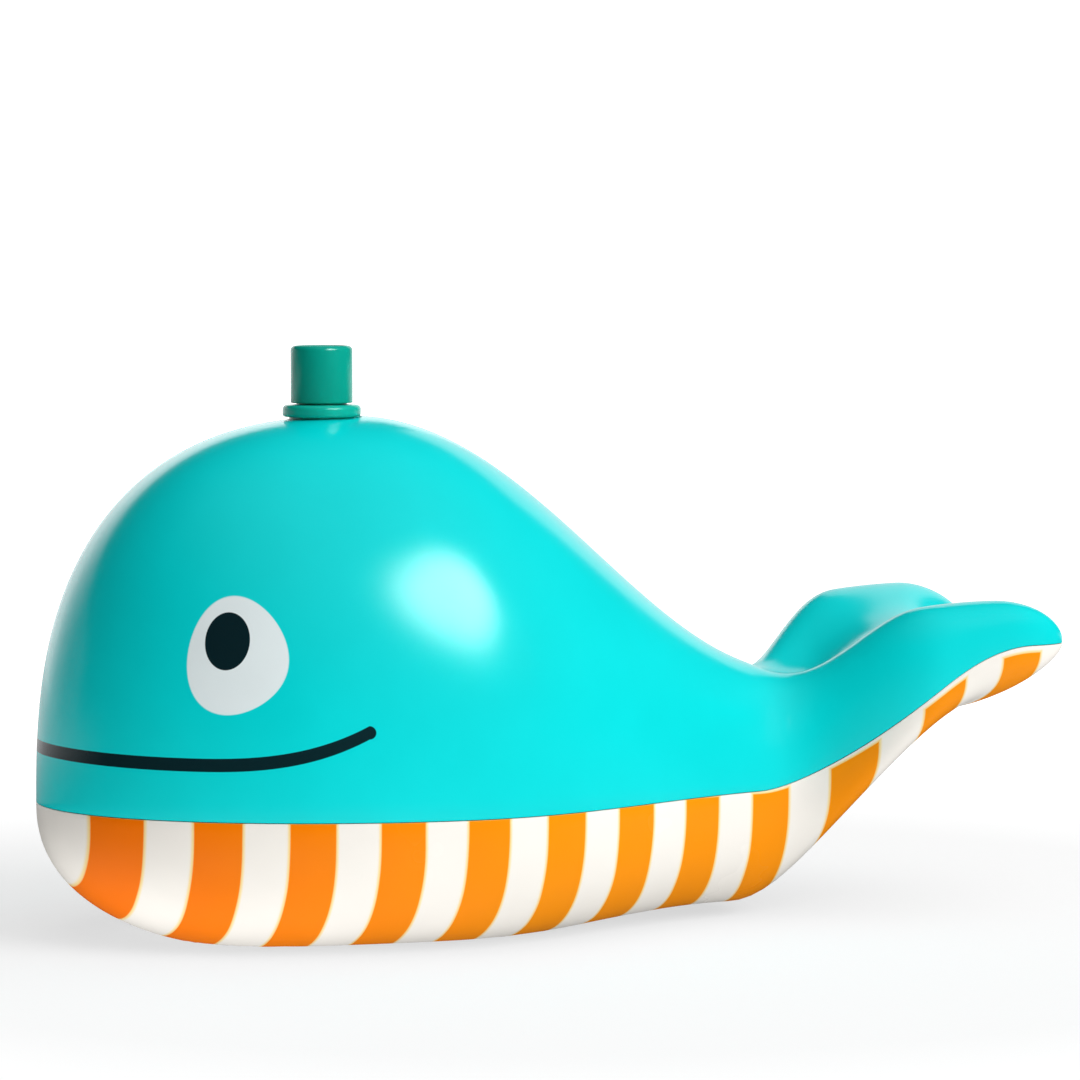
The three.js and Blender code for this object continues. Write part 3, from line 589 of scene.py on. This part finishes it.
def turned(name, rings, place=(0, 0, 0), sides=64, **lay):
    """A piece of revolution from rings of radius and height, closed round its wall."""
    bpy.ops.mesh.primitive_circle_add(vertices=sides, radius=rings[0][0] * MM)
    obj = begin(name)
    bpy.ops.transform.translate(value=(0, 0, rings[0][1] * MM))
    for (r0, z0), (r1, z1) in zip(rings, rings[1:]):
        bpy.ops.mesh.extrude_edges_move(TRANSFORM_OT_translate={"value": (0, 0, (z1 - z0) * MM)})
        bpy.ops.transform.resize(value=(r1 / r0, r1 / r0, 1))
    bpy.ops.mesh.select_all(action="DESELECT")
    bpy.ops.mesh.select_non_manifold()
    bpy.ops.mesh.bridge_edge_loops()
    bpy.ops.mesh.select_all(action="SELECT")
    bpy.ops.mesh.normals_make_consistent(inside=False)
    settle(place, **lay)
    return obj


def combine(obj, other, operation):
    """Joins another body to a piece, or cuts it out, and removes the other body."""
    apply_modifier(obj, "BOOLEAN", operation=operation, object=other, solver="EXACT")
    bpy.data.objects.remove(other)


def soften_rims(obj, width=0.12):
    """Rounds every sharp edge of a piece a little."""
    edit_all(obj)
    bpy.ops.mesh.select_all(action="DESELECT")
    bpy.ops.mesh.select_mode(type="EDGE")
    bpy.ops.mesh.edges_select_sharp(sharpness=math.radians(60))
    bpy.ops.mesh.bevel(offset=width * MM, segments=2, clamp_overlap=True)
    to_object()


# %% [markdown]
# The upper shell is cut round for the spout's grommet, with a flat seat for its lip on either
# side of the wall. A short tube at the notch between the flukes carries the mouthpiece. The
# openings could be modelled into the grid, but Boolean cuts keep them round on the curved wall.
# The shell's rim and the edges of its cuts are eased with a small bevel, which gives the seam
# its soft dark line.

# %% Upper shell
SPOUT_X = SPOUT_STATION - LENGTH / 2
SPOUT = (SPOUT_X, 0, 0)
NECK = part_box("spout_grommet")[1].z / MM
LIP_RADIUS, GROMMET_RADIUS = 6.5, 5.4
TOP_LIP, INNER_LIP, NECK_THICKNESS = 2.0, 1.5, 1.6
NECK_TOP = NECK - TOP_LIP - CLEARANCE
NECK_BASE = NECK_TOP - NECK_THICKNESS
GROMMET_BASE = NECK_BASE - CLEARANCE - INNER_LIP
ABOVE, INSIDE, BEHIND = 100.0, 70.0, 90.0

mouth_low, mouth_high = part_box("mouthpiece")
AXIS = (0, 0, (mouth_low.z + mouth_high.z) / 2 / MM)
END = mouth_high.x / MM
SEAT = END - 15.2
TUBE_OUTSIDE = 3.7
BOSS_RADIUS = TUBE_OUTSIDE + CLEARANCE + 1.3
BOSS_START, BOSS_END = END - 12.3, END - 7.7

upper = hull_shell("upper_shell_skin", upper_height)
for radius, low, high in (
    (LIP_RADIUS, NECK_TOP, ABOVE), (LIP_RADIUS, GROMMET_BASE, NECK_BASE), (GROMMET_RADIUS, INSIDE, ABOVE),
):
    combine(upper, rod("neck_cut", radius + CLEARANCE, low, high, SPOUT), "DIFFERENCE")
combine(upper, rod("boss", BOSS_RADIUS, BOSS_START, BOSS_END, AXIS, along_x=True), "UNION")
boss_bore = rod("boss_bore", TUBE_OUTSIDE + CLEARANCE, SEAT, BEHIND, AXIS, along_x=True)
combine(upper, boss_bore, "DIFFERENCE")
soften_rims(upper)
finish_piece(upper, "hull", turquoise, "upper_shell")

# %% [markdown]
# The belly shell is drawn the same way and stops at a flat, on which the toy stands. A round
# cut at the notch makes room for the tube of the upper shell. Inside, a ring keeps the diffuser
# in its place and two notched ribs hold the air tube. They are moulded in one with the shell, so
# they are joined to it and aren't pieces of their own.

# %% Lower shell
HOSE_RADIUS, HOSE_HEIGHT = 2.5, 7.0
CUP_RADIUS = 11.0
IN_FLOOR, LOCATOR_TOP, LOCATOR_WALL = 1.0, 4.0, 1.3
RIB_PLACES = (-19.0, -13.0)
RIB_HALF_THICKNESS, RIB_HALF_WIDTH = 1.2, 4.8

lower = hull_shell("lower_shell_skin", lower_height)
boss_room = rod("boss_room", BOSS_RADIUS + CLEARANCE, SEAT, LENGTH / 2, AXIS, along_x=True)
combine(lower, boss_room, "DIFFERENCE")
soften_rims(lower)
inner = CUP_RADIUS + CLEARANCE
outer = inner + LOCATOR_WALL
locator_rings = [(inner, IN_FLOOR), (outer, IN_FLOOR), (outer, LOCATOR_TOP), (inner, LOCATOR_TOP)]
combine(lower, turned("locator", locator_rings, SPOUT), "UNION")
for x in RIB_PLACES:
    front, rear = x - RIB_HALF_THICKNESS, x + RIB_HALF_THICKNESS
    rib = block("rib", (front, -RIB_HALF_WIDTH, IN_FLOOR), (rear, RIB_HALF_WIDTH, HOSE_HEIGHT))
    notch = rod("rib_notch", HOSE_RADIUS + CLEARANCE, x - 5, x + 5, (0, 0, HOSE_HEIGHT), along_x=True)
    combine(rib, notch, "DIFFERENCE")
    combine(lower, rib, "UNION")
finish_piece(lower, "hull", ivory, "lower_shell")

# %% [markdown]
# The collar round the spout is soft silicone: slightly clear, so light sinks in and its edge
# glows. A transmission shader would make it look like glass, so a little subsurface light does
# it. The spout itself is the same green in hard plastic.

# %% Green materials
silicone_green, tree, main = shader("grommet_silicone")
use_moulded(tree, main, linear(14, 188, 168), gloss=0.22)
put(tree, main, Subsurface_Weight=0.25, Subsurface_Scale=0.002, IOR=1.43)
show_nodes("grommet_silicone", tree)

green, tree, main = shader("spout_green")
use_moulded(tree, main, linear(0, 170, 150), gloss=0.2)
put(tree, main, IOR=PLASTIC_IOR)
show_nodes("spout_green", tree)

# %% [markdown]
# Grommet and spout are turned. The collar's lip and the spout's rim are round in section. One
# bevel would give all their edges the same width, so their rings follow arcs, each with a
# rounding of its own.

# %% Grommet and spout
STEM_RADIUS, STEM_END, STEM_LEAD, STEM_TAPER = 4.2, 21.0, 1.0, 0.4
SPOUT_RADIUS, SPOUT_HEIGHT, SPOUT_BORE = 5.15, 9.5, 3.4
RIM_ROUNDING, EDGE_ROUNDING = 0.8, 0.2
LIP_TOP_ROUNDING, LIP_EDGE_ROUNDING = 0.7, 0.5
NET_RADIUS, NET_LEDGE = 3.85, 4.0
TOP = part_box("blowhole_spout")[1].z / MM


def arc(radius, height, bend, start, end, steps):
    """Rings along an arc about a centre in the section, from one angle in degrees to another."""
    turns = [math.radians(start + (end - start) * k / steps) for k in range(steps + 1)]
    return [(radius + bend * math.cos(t), height + bend * math.sin(t)) for t in turns]


bore = STEM_RADIUS + CLEARANCE
lip_base = NECK - TOP_LIP
inner_lip_top = NECK_BASE - CLEARANCE
grommet = turned("grommet", [
    (GROMMET_RADIUS, lip_base),
    *arc(LIP_RADIUS - LIP_EDGE_ROUNDING, lip_base + LIP_EDGE_ROUNDING, LIP_EDGE_ROUNDING, -90, 0, 3),
    *arc(LIP_RADIUS - LIP_TOP_ROUNDING, NECK - LIP_TOP_ROUNDING, LIP_TOP_ROUNDING, 0, 90, 4),
    (bore, NECK), (bore, GROMMET_BASE), (GROMMET_RADIUS, GROMMET_BASE),
    (LIP_RADIUS, inner_lip_top), (GROMMET_RADIUS, inner_lip_top)], SPOUT)
finish_piece(grommet, "hull", silicone_green, "spout_grommet")

pocket = NET_RADIUS + CLEARANCE
spout_base = TOP - SPOUT_HEIGHT
spout = turned("spout", [
    (STEM_RADIUS - STEM_TAPER, TOP - STEM_END), (STEM_RADIUS, TOP - STEM_END + STEM_LEAD),
    (STEM_RADIUS, spout_base),
    *arc(SPOUT_RADIUS - EDGE_ROUNDING, spout_base + EDGE_ROUNDING, EDGE_ROUNDING, -90, 0, 3),
    *arc(SPOUT_RADIUS - RIM_ROUNDING, TOP - RIM_ROUNDING, RIM_ROUNDING, 0, 90, 5),
    *arc(pocket + EDGE_ROUNDING, TOP - EDGE_ROUNDING, EDGE_ROUNDING, 90, 180, 3)[1:],
    (pocket, TOP - NET_LEDGE), (SPOUT_BORE, TOP - NET_LEDGE), (SPOUT_BORE, TOP - STEM_END)], SPOUT)
finish_piece(spout, "spout", green, "blowhole_spout")

# %% [markdown]
# The pieces of the air path are white moulded plastic, milky silicone and a nylon net. The net
# could be built anew from thin wires, but its square mesh is right as it is in CAD, so it only
# gets its finish.

# %% Finishes of the air path
white, tree, main = shader("white_plastic")
use_moulded(tree, main, linear(233, 236, 234), gloss=0.32)

milky, tree, main = shader("clear_silicone")
use_moulded(tree, main, linear(217, 226, 224), gloss=0.38)
put(tree, main, Subsurface_Weight=0.3, Subsurface_Scale=0.003)

nylon, tree, main = shader("screen_nylon")
use_moulded(tree, main, linear(223, 236, 235), gloss=0.5)
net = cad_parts["foam_screen"].data
net.materials.clear()
net.materials.append(nylon)
print("net has", len(net.polygons), "faces")

# %% [markdown]
# The mouthpiece is a tube with a flange and a rounded bead for the lips. A silicone washer sits
# under the flange, and a small ring in the spout keeps the net in its pocket. All three could be
# joined from rods, but turning them as one wall leaves no inner faces.

# %% Mouthpiece, washer and net ring
TUBE_INSIDE = 3.0
FLANGE_RADIUS, FLANGE_BACK, FLANGE_FRONT = 5.6, END - 5.9, END - 4.4
BACK_ROUNDING, FRONT_ROUNDING = 0.1, 0.4
BEAD_RADIUS, BEAD_START = 4.4, END - 2.9
BEAD_BACK_ROUNDING, BEAD_FRONT_ROUNDING, MOUTH_ROUNDING = 0.7, 0.6, 0.25
SEAL_BACK, SEAL_FRONT, WASHER_EDGE = END - 7.4, END - 6.2, 0.14
RING_WALL, RING_BASE, RING_TOP = 0.7, TOP - 2.8, TOP - 1.2

mouthpiece = turned("mouthpiece_tube", [
    (TUBE_OUTSIDE, SEAT), (TUBE_OUTSIDE, FLANGE_BACK),
    *arc(FLANGE_RADIUS - BACK_ROUNDING, FLANGE_BACK + BACK_ROUNDING, BACK_ROUNDING, -90, 0, 2),
    *arc(FLANGE_RADIUS - FRONT_ROUNDING, FLANGE_FRONT - FRONT_ROUNDING, FRONT_ROUNDING, 0, 90, 4),
    (TUBE_OUTSIDE, FLANGE_FRONT),
    *arc(BEAD_RADIUS - BEAD_BACK_ROUNDING, BEAD_START + BEAD_BACK_ROUNDING, BEAD_BACK_ROUNDING, -90, 0, 4),
    *arc(BEAD_RADIUS - BEAD_FRONT_ROUNDING, END - BEAD_FRONT_ROUNDING, BEAD_FRONT_ROUNDING, 0, 90, 4),
    *arc(TUBE_INSIDE + MOUTH_ROUNDING, END - MOUTH_ROUNDING, MOUTH_ROUNDING, 90, 180, 3),
    (TUBE_INSIDE, SEAT)], AXIS, along_x=True)
finish_piece(mouthpiece, "hull", white, "mouthpiece")


def washer(name, inner, outer, low, high, place, **lay):
    """A flat ring with broken edges."""
    edge = WASHER_EDGE
    rings = [
        (inner, low + edge), (inner + edge, low), (outer - edge, low), (outer, low + edge),
        (outer, high - edge), (outer - edge, high), (inner + edge, high), (inner, high - edge)]
    return turned(name, rings, place, **lay)


seal = washer("washer", TUBE_OUTSIDE + CLEARANCE, BOSS_RADIUS, SEAL_BACK, SEAL_FRONT, AXIS, along_x=True)
finish_piece(seal, "hull", milky, "mouthpiece_seal")
net_ring = washer("net_ring", NET_RADIUS - RING_WALL, NET_RADIUS, RING_BASE, RING_TOP, SPOUT)
finish_piece(net_ring, "spout", green, "screen_ring")

# %% [markdown]
# The air tube is a length of silicone hose between two barbs, one on the valve's chamber and
# one on the diffuser. It could be extruded ring by ring, but a curve with a round bevel bends
# more smoothly: down from the valve, one bend, then along the floor. Solidify gives its wall.

# %% Air tube
BARB_LENGTH, BARB_DROP = 6.5, 1.6
FLOOR_RUN, BEND, HOSE_WALL = 8.0, 11.0, 0.9
CHAMBER_BACK = SEAT - 6.7
VALVE_PULL, BEND_PULL, CUP_PULL = 18.0, 7.1, 4.8

cup_side = SPOUT_X + CUP_RADIUS
hose_end = cup_side + CLEARANCE
barb_root = Vector((CHAMBER_BACK, 0, AXIS[2] - BARB_DROP))
corner = Vector((hose_end + BARB_LENGTH + FLOOR_RUN + BEND, 0, HOSE_HEIGHT))
down = (corner - barb_root).normalized()
flat = Vector((-1, 0, 0))
hose_start = barb_root + down * (HOSE_RADIUS * down.z / down.x + 2 * CLEARANCE)
hose_points = (
    (hose_start, down, VALVE_PULL), (corner - down * BEND, down, BEND_PULL),
    (corner + flat * BEND, flat, BEND_PULL), (Vector((hose_end, 0, HOSE_HEIGHT)), flat, CUP_PULL),
)

bpy.ops.curve.primitive_bezier_curve_add()
hose = bpy.context.object
hose.name = "hose"
run = hose.data.splines[0].bezier_points
run.add(len(hose_points) - len(run))
for point, (spot, way, pull) in zip(run, hose_points):
    point.handle_left_type = point.handle_right_type = "FREE"
    point.co = spot * MM
    point.handle_left = (spot - way * pull) * MM
    point.handle_right = (spot + way * pull) * MM
print("hose run:", round(hose.data.splines[0].calc_length() / MM, 1), "mm")
hose.data.bevel_depth = HOSE_RADIUS * MM
hose.data.bevel_resolution = 10
hose.data.resolution_u = 16
bpy.ops.object.convert(target="MESH")
hose = bpy.context.object
edit_all(hose)
bpy.ops.mesh.normals_make_consistent(inside=False)
to_object()
apply_modifier(hose, "SOLIDIFY", thickness=HOSE_WALL * MM, offset=-1)
finish_piece(hose, "hull", milky, "air_tube")

# %% [markdown]
# The diffuser is a cup with a lid. A barb in the cup's side holds the tube's end, and holes in
# the lid, in two rings about a middle one, split the air into fine streams. Dark spots in a
# texture could stand for the holes, but the real ones go through, so each of them is cut.

# %% Diffuser
BARB_RADIUS, BARB_BORE, BARB_ROOT = 1.3, 0.8, 0.75
CUP_BASE, CUP_TOP, CUP_WALL = 2.3, 10.3, 1.5
LID_BASE, LID_TOP, SPIGOT_BASE = CUP_TOP + CLEARANCE, 12.1, 8.6
HOLE_RADIUS, HOLE_PITCH, HOLE_SIDES = 0.8, 3.2, 24
ON_FLOOR = (0, 0, HOSE_HEIGHT)
FLAT_FACES = 20

cup = rod("diffuser_cup", CUP_RADIUS, CUP_BASE, CUP_TOP, SPOUT)
cup_room = rod("cup_room", CUP_RADIUS - CUP_WALL, CUP_BASE + CUP_WALL, CUP_TOP + 1.7, SPOUT)
combine(cup, cup_room, "DIFFERENCE")
barb = rod("barb", BARB_RADIUS, cup_side - BARB_ROOT, cup_side + BARB_LENGTH, ON_FLOOR, along_x=True)
combine(cup, barb, "UNION")
bore = rod("barb_bore", BARB_BORE, cup_side - 3, cup_side + 13, ON_FLOOR, along_x=True)
combine(cup, bore, "DIFFERENCE")
soften_rims(cup)
finish_piece(cup, "hull", white, "diffuser_body", angle=FLAT_FACES)

spigot_radius = CUP_RADIUS - CUP_WALL - CLEARANCE
lid = rod("diffuser_lid", CUP_RADIUS, LID_BASE, LID_TOP, SPOUT)
combine(lid, rod("spigot", spigot_radius, SPIGOT_BASE, LID_BASE + 0.4, SPOUT), "UNION")
combine(lid, rod("lid_room", spigot_radius - CUP_WALL, SPIGOT_BASE - 0.6, LID_BASE, SPOUT), "DIFFERENCE")
for ring, count in ((0, 1), (1, 6), (2, 12)):
    for k in range(count):
        turn = 2 * math.pi * k / count
        away = HOLE_PITCH * ring
        hole_place = (SPOUT_X + away * math.cos(turn), away * math.sin(turn), 0)
        combine(lid, rod("lid_hole", HOLE_RADIUS, 8, 14, hole_place, sides=HOLE_SIDES), "DIFFERENCE")
soften_rims(lid)
finish_piece(lid, "hull", white, "diffuser_cap", angle=FLAT_FACES)

# %% [markdown]
# The valve's chamber is a cup over the mouthpiece's inner end, with a sloping barb for the air
# tube. The slope keeps it from being turned in one, so it is joined and cut from rods. Its flap
# is a thin silicone disc with a square tab at its top, on which it swings.

# %% Valve chamber and flap
CHAMBER_ROOM, CHAMBER_WALL, SLEEVE_LENGTH = 4.1, 0.7, 1.6
SLEEVE_INSIDE, SLEEVE_OVERLAP = TUBE_OUTSIDE + CLEARANCE, 1.0
FLAP_RADIUS, FLAP_THICKNESS, TAB_HALF_WIDTH, TAB_TOP = 3.3, 0.8, 1.1, 3.6

slope = math.degrees(math.atan2(-down.z, -down.x))
sleeve_start = SEAT - SLEEVE_OVERLAP
level = {"place": AXIS, "along_x": True}
sloping = {"place": barb_root, "along_x": True, "tilt": slope}
chamber = rod("chamber", CHAMBER_ROOM + CHAMBER_WALL, CHAMBER_BACK, SEAT, **level)
for operation, name, radius, low, high, lay in (
    ("UNION", "sleeve", SLEEVE_INSIDE + CHAMBER_WALL, sleeve_start, SEAT + SLEEVE_LENGTH, level),
    ("UNION", "barb", BARB_RADIUS, -BARB_LENGTH, 2 * BARB_RADIUS, sloping),
    ("DIFFERENCE", "chamber_room", CHAMBER_ROOM, CHAMBER_BACK + CHAMBER_WALL, SEAT, level),
    ("DIFFERENCE", "sleeve_room", SLEEVE_INSIDE, sleeve_start, SEAT + 3, level),
    ("DIFFERENCE", "barb_bore", BARB_BORE, -2 * BARB_LENGTH, 2 * BARB_RADIUS, sloping),
):
    combine(chamber, rod(name, radius, low, high, **lay), operation)
soften_rims(chamber)
finish_piece(chamber, "hull", white, "valve_chamber", angle=FLAT_FACES)

flap_front = SEAT - CLEARANCE
flap_back = flap_front - FLAP_THICKNESS
flap = rod("flap_disc", FLAP_RADIUS, flap_back, flap_front, AXIS, along_x=True)
tab_low = (flap_back, -TAB_HALF_WIDTH, AXIS[2])
tab_high = (flap_front, TAB_HALF_WIDTH, AXIS[2] + TAB_TOP)
combine(flap, block("tab", tab_low, tab_high), "UNION")
soften_rims(flap)
finish_piece(flap, "flap", milky, "valve_flap", angle=FLAT_FACES)

# %% [markdown]
# The studio is a white table before a white backdrop, which the camera sees as plain white.
# Stronger lamps could make them white as well, but would wash out the whale. Reflections see a
# dark room and only far behind the whale the pale backdrop and table, so the plastic stays rich
# in colour and brightens at its edge.

# %% Studio helpers
WHITE = grey(1.0)


def stage_plane(name, paint, width, height, place, turn):
    bpy.ops.mesh.primitive_plane_add(size=1, location=place, rotation=turn)
    plane = bpy.context.object
    plane.name = name
    plane.scale = (width, height, 1)
    plane.data.materials.append(paint)
    plane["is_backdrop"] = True
    return plane


def position(tree):
    return add(tree, "ShaderNodeNewGeometry", out="Position")


def distance(tree, vector):
    return add(tree, "ShaderNodeVectorMath", vector, operation="LENGTH", out="Value")


def towards(bearing, elevation):
    """Direction from the whale, at a bearing from the viewer's side round to the tail."""
    a, e = math.radians(bearing), math.radians(elevation)
    return Vector((math.sin(a) * math.cos(e), -math.cos(a) * math.cos(e), math.sin(e)))


def facing(direction):
    return direction.to_track_quat("Z", "Y").to_euler()


# %% [markdown]
# The table sends light up to the whale: most before the nose, least under the middle and more
# again under the tail. Small lamps under the whale could do that, but they would stand in the
# picture. The camera sees the table fade to white away from the whale, and the plastic mirrors
# only its far part.

# %% Table
TABLE_GREY, BOUNCE_GREY = 0.42, 0.5
NEAR, FAR, NEAR_GLOW = 0.13, 0.34, 0.6
NOSE_BOUNCE, MIDDLE_BOUNCE, TAIL_BOUNCE = 1.16, 0.3, 0.8
NOSE_X, MIDDLE_X, TAIL_X = -0.09, 0.05, 0.1
BODY_REACH, BODY_EDGE, TAIL_EDGE = 0.1, 0.15, 0.22
MIRROR_START, MIRROR_FULL, MIRRORED_NEAR, MIRRORED_FAR = 0.1, 0.4, 0.02, 0.9

table_paint, tree, main = shader("white_table")
camera_only = seen_by(tree, "Is Camera Ray")
spot = separate(tree, position(tree))
far = distance(tree, position(tree))
under_nose = ramp(tree, spot["X"], NOSE_X, MIDDLE_X, NOSE_BOUNCE, MIDDLE_BOUNCE)
under_tail = ramp(tree, spot["X"], MIDDLE_X, TAIL_X, 0.0, TAIL_BOUNCE)
bounce = calc(tree, "ADD", ramp(tree, far, BODY_REACH, BODY_EDGE, under_nose, 0.0),
              calc(tree, "MULTIPLY", under_tail, step_down(tree, far, BODY_EDGE, TAIL_EDGE)))
glow = ramp(tree, camera_only, 0.0, 1.0, bounce, ramp(tree, far, NEAR, FAR, NEAR_GLOW, 1.0))
put(tree, main, Base_Color=blend_colours(tree, camera_only, grey(BOUNCE_GREY), grey(TABLE_GREY)),
    Roughness=0.8, Specular_IOR_Level=0.0, Emission_Color=WHITE, Emission_Strength=glow)
mirrored = ramp(tree, spot["Y"], MIRROR_START, MIRROR_FULL, MIRRORED_NEAR, MIRRORED_FAR)
mirrored = add(tree, "ShaderNodeEmission", WHITE, mirrored)
shown = add(tree, "ShaderNodeMixShader", seen_by(tree, "Is Glossy Ray"), main.outputs[0], mirrored)
plug(tree, tree.nodes["Material Output"].inputs["Surface"], shown)
table_paint.cycles.emission_sampling = "NONE"
stage_plane("table", table_paint, 12, 12, (0, 0, 0), (0, 0, 0))
show_nodes("white_table", tree)

# %% [markdown]
# The backdrop stands behind the whale. In reflections it fades out to the left, where the head
# mirrors it, so the head keeps its dark edge. A narrower one would end in a hard line there.

# %% Backdrop
FADE_START, FADE_END = -1.5, -0.3

backdrop_paint, tree, main = shader("white_backdrop")
fade = ramp(tree, separate(tree, position(tree))["X"], FADE_START, FADE_END)
mirrored = calc(tree, "MULTIPLY", seen_by(tree, "Is Glossy Ray"), fade)
put(tree, main, Base_Color=grey(0.8), Specular_IOR_Level=0.0, Emission_Color=WHITE,
    Emission_Strength=calc(tree, "MAXIMUM", seen_by(tree, "Is Camera Ray"), mirrored))
backdrop_paint.cycles.emission_sampling = "NONE"
stage_plane("backdrop", backdrop_paint, 4.4, 0.6, (-0.6, 1.2, 0.3), (math.radians(90), 0, 0))
show_nodes("white_backdrop", tree)

# %% [markdown]
# The room fills the shadows with soft light from above and from the right. A picture of a room
# would show as shapes in the plastic, so a plain blend by direction stands for it. It is nearly
# black in reflections and white for the camera.

# %% Room
FILL_FROM = towards(42, 60)
FILL_START, FILL_LEVEL, ROOM_GREY = 0.36, 1.3, 0.03

world = bpy.data.worlds.new("studio")
scene.world = world
world.use_nodes = True
world.cycles.sampling_method = "NONE"
tree = world.node_tree
towards_fill = add(tree, "ShaderNodeVectorMath", on_object(tree), FILL_FROM,
                   operation="DOT_PRODUCT", out="Value")
fill = ramp(tree, towards_fill, FILL_START, 1.0, 0.0, FILL_LEVEL)
fill = blend_colours(tree, seen_by(tree, "Is Glossy Ray"), fill, grey(ROOM_GREY))
sky = blend_colours(tree, seen_by(tree, "Is Camera Ray"), fill, WHITE)
plug(tree, tree.nodes["Background"].inputs["Color"], sky)
show_nodes("studio", tree)

# %% [markdown]
# One large softbox to the right shapes the form. What the glossy plastic mirrors could come
# from more lamps, but each of them would change the light too. So it is set with cards that show
# in reflections alone: a soft round one for the highlight on the head, a pale one behind the
# flukes, and a black flag that keeps the highlight off the tail.

# %% Lamp and cards
MIDDLE = Vector((-0.02, 0, 0.05))
LAMP_FROM, LAMP_DISTANCE, LAMP_SIZE, LAMP_POWER = towards(38, 32), 2, 1.2, 20.0
SHINE_FROM, SHINE_DISTANCE, SHINE_LEVEL = towards(25, 34), 0.9, 17.0

bpy.ops.object.light_add(type="AREA", location=LAMP_FROM * LAMP_DISTANCE + MIDDLE)
lamp = bpy.context.object
lamp.name = "main_softbox"
lamp.data.size = LAMP_SIZE
lamp.data.energy = LAMP_POWER
lamp.rotation_euler = facing(LAMP_FROM)
lamp.visible_glossy = False


def mirror_card(name, level, width, height, place, direction, soft=0.0):
    """A card that shows only in reflections, bright in its middle and fading over its soft share."""
    paint, tree, main = shader(name)
    glow = level
    if soft:
        fade = step_down(tree, distance(tree, on_object(tree)), 0.5 - soft, 0.5)
        glow = calc(tree, "MULTIPLY", fade, level)
    put(tree, main, Base_Color=grey(0.0), Specular_IOR_Level=0.0,
        Emission_Color=WHITE, Emission_Strength=glow)
    paint.cycles.emission_sampling = "NONE"
    card = stage_plane(name, paint, width, height, place, facing(direction))
    card.visible_camera = card.visible_diffuse = card.visible_shadow = card.visible_transmission = False
    print(name, "glows at", level)


shine_place = SHINE_FROM * SHINE_DISTANCE + MIDDLE
mirror_card("highlight_card", SHINE_LEVEL, 0.68, 0.5, shine_place, SHINE_FROM, soft=0.22)
mirror_card("black_flag", 0.0, 0.078, 0.07, (0.075, -0.055, 0.07), SHINE_FROM)
mirror_card("tail_card", 1.0, 0.2, 0.26, (0.2, 0.25, 0.17), towards(163, 0))

# %% [markdown]
# Last, the size of the finished model is printed.

# %% Finish
low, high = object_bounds()
print("visual box in mm:", [round(v / MM, 1) for v in (*low, *high)])
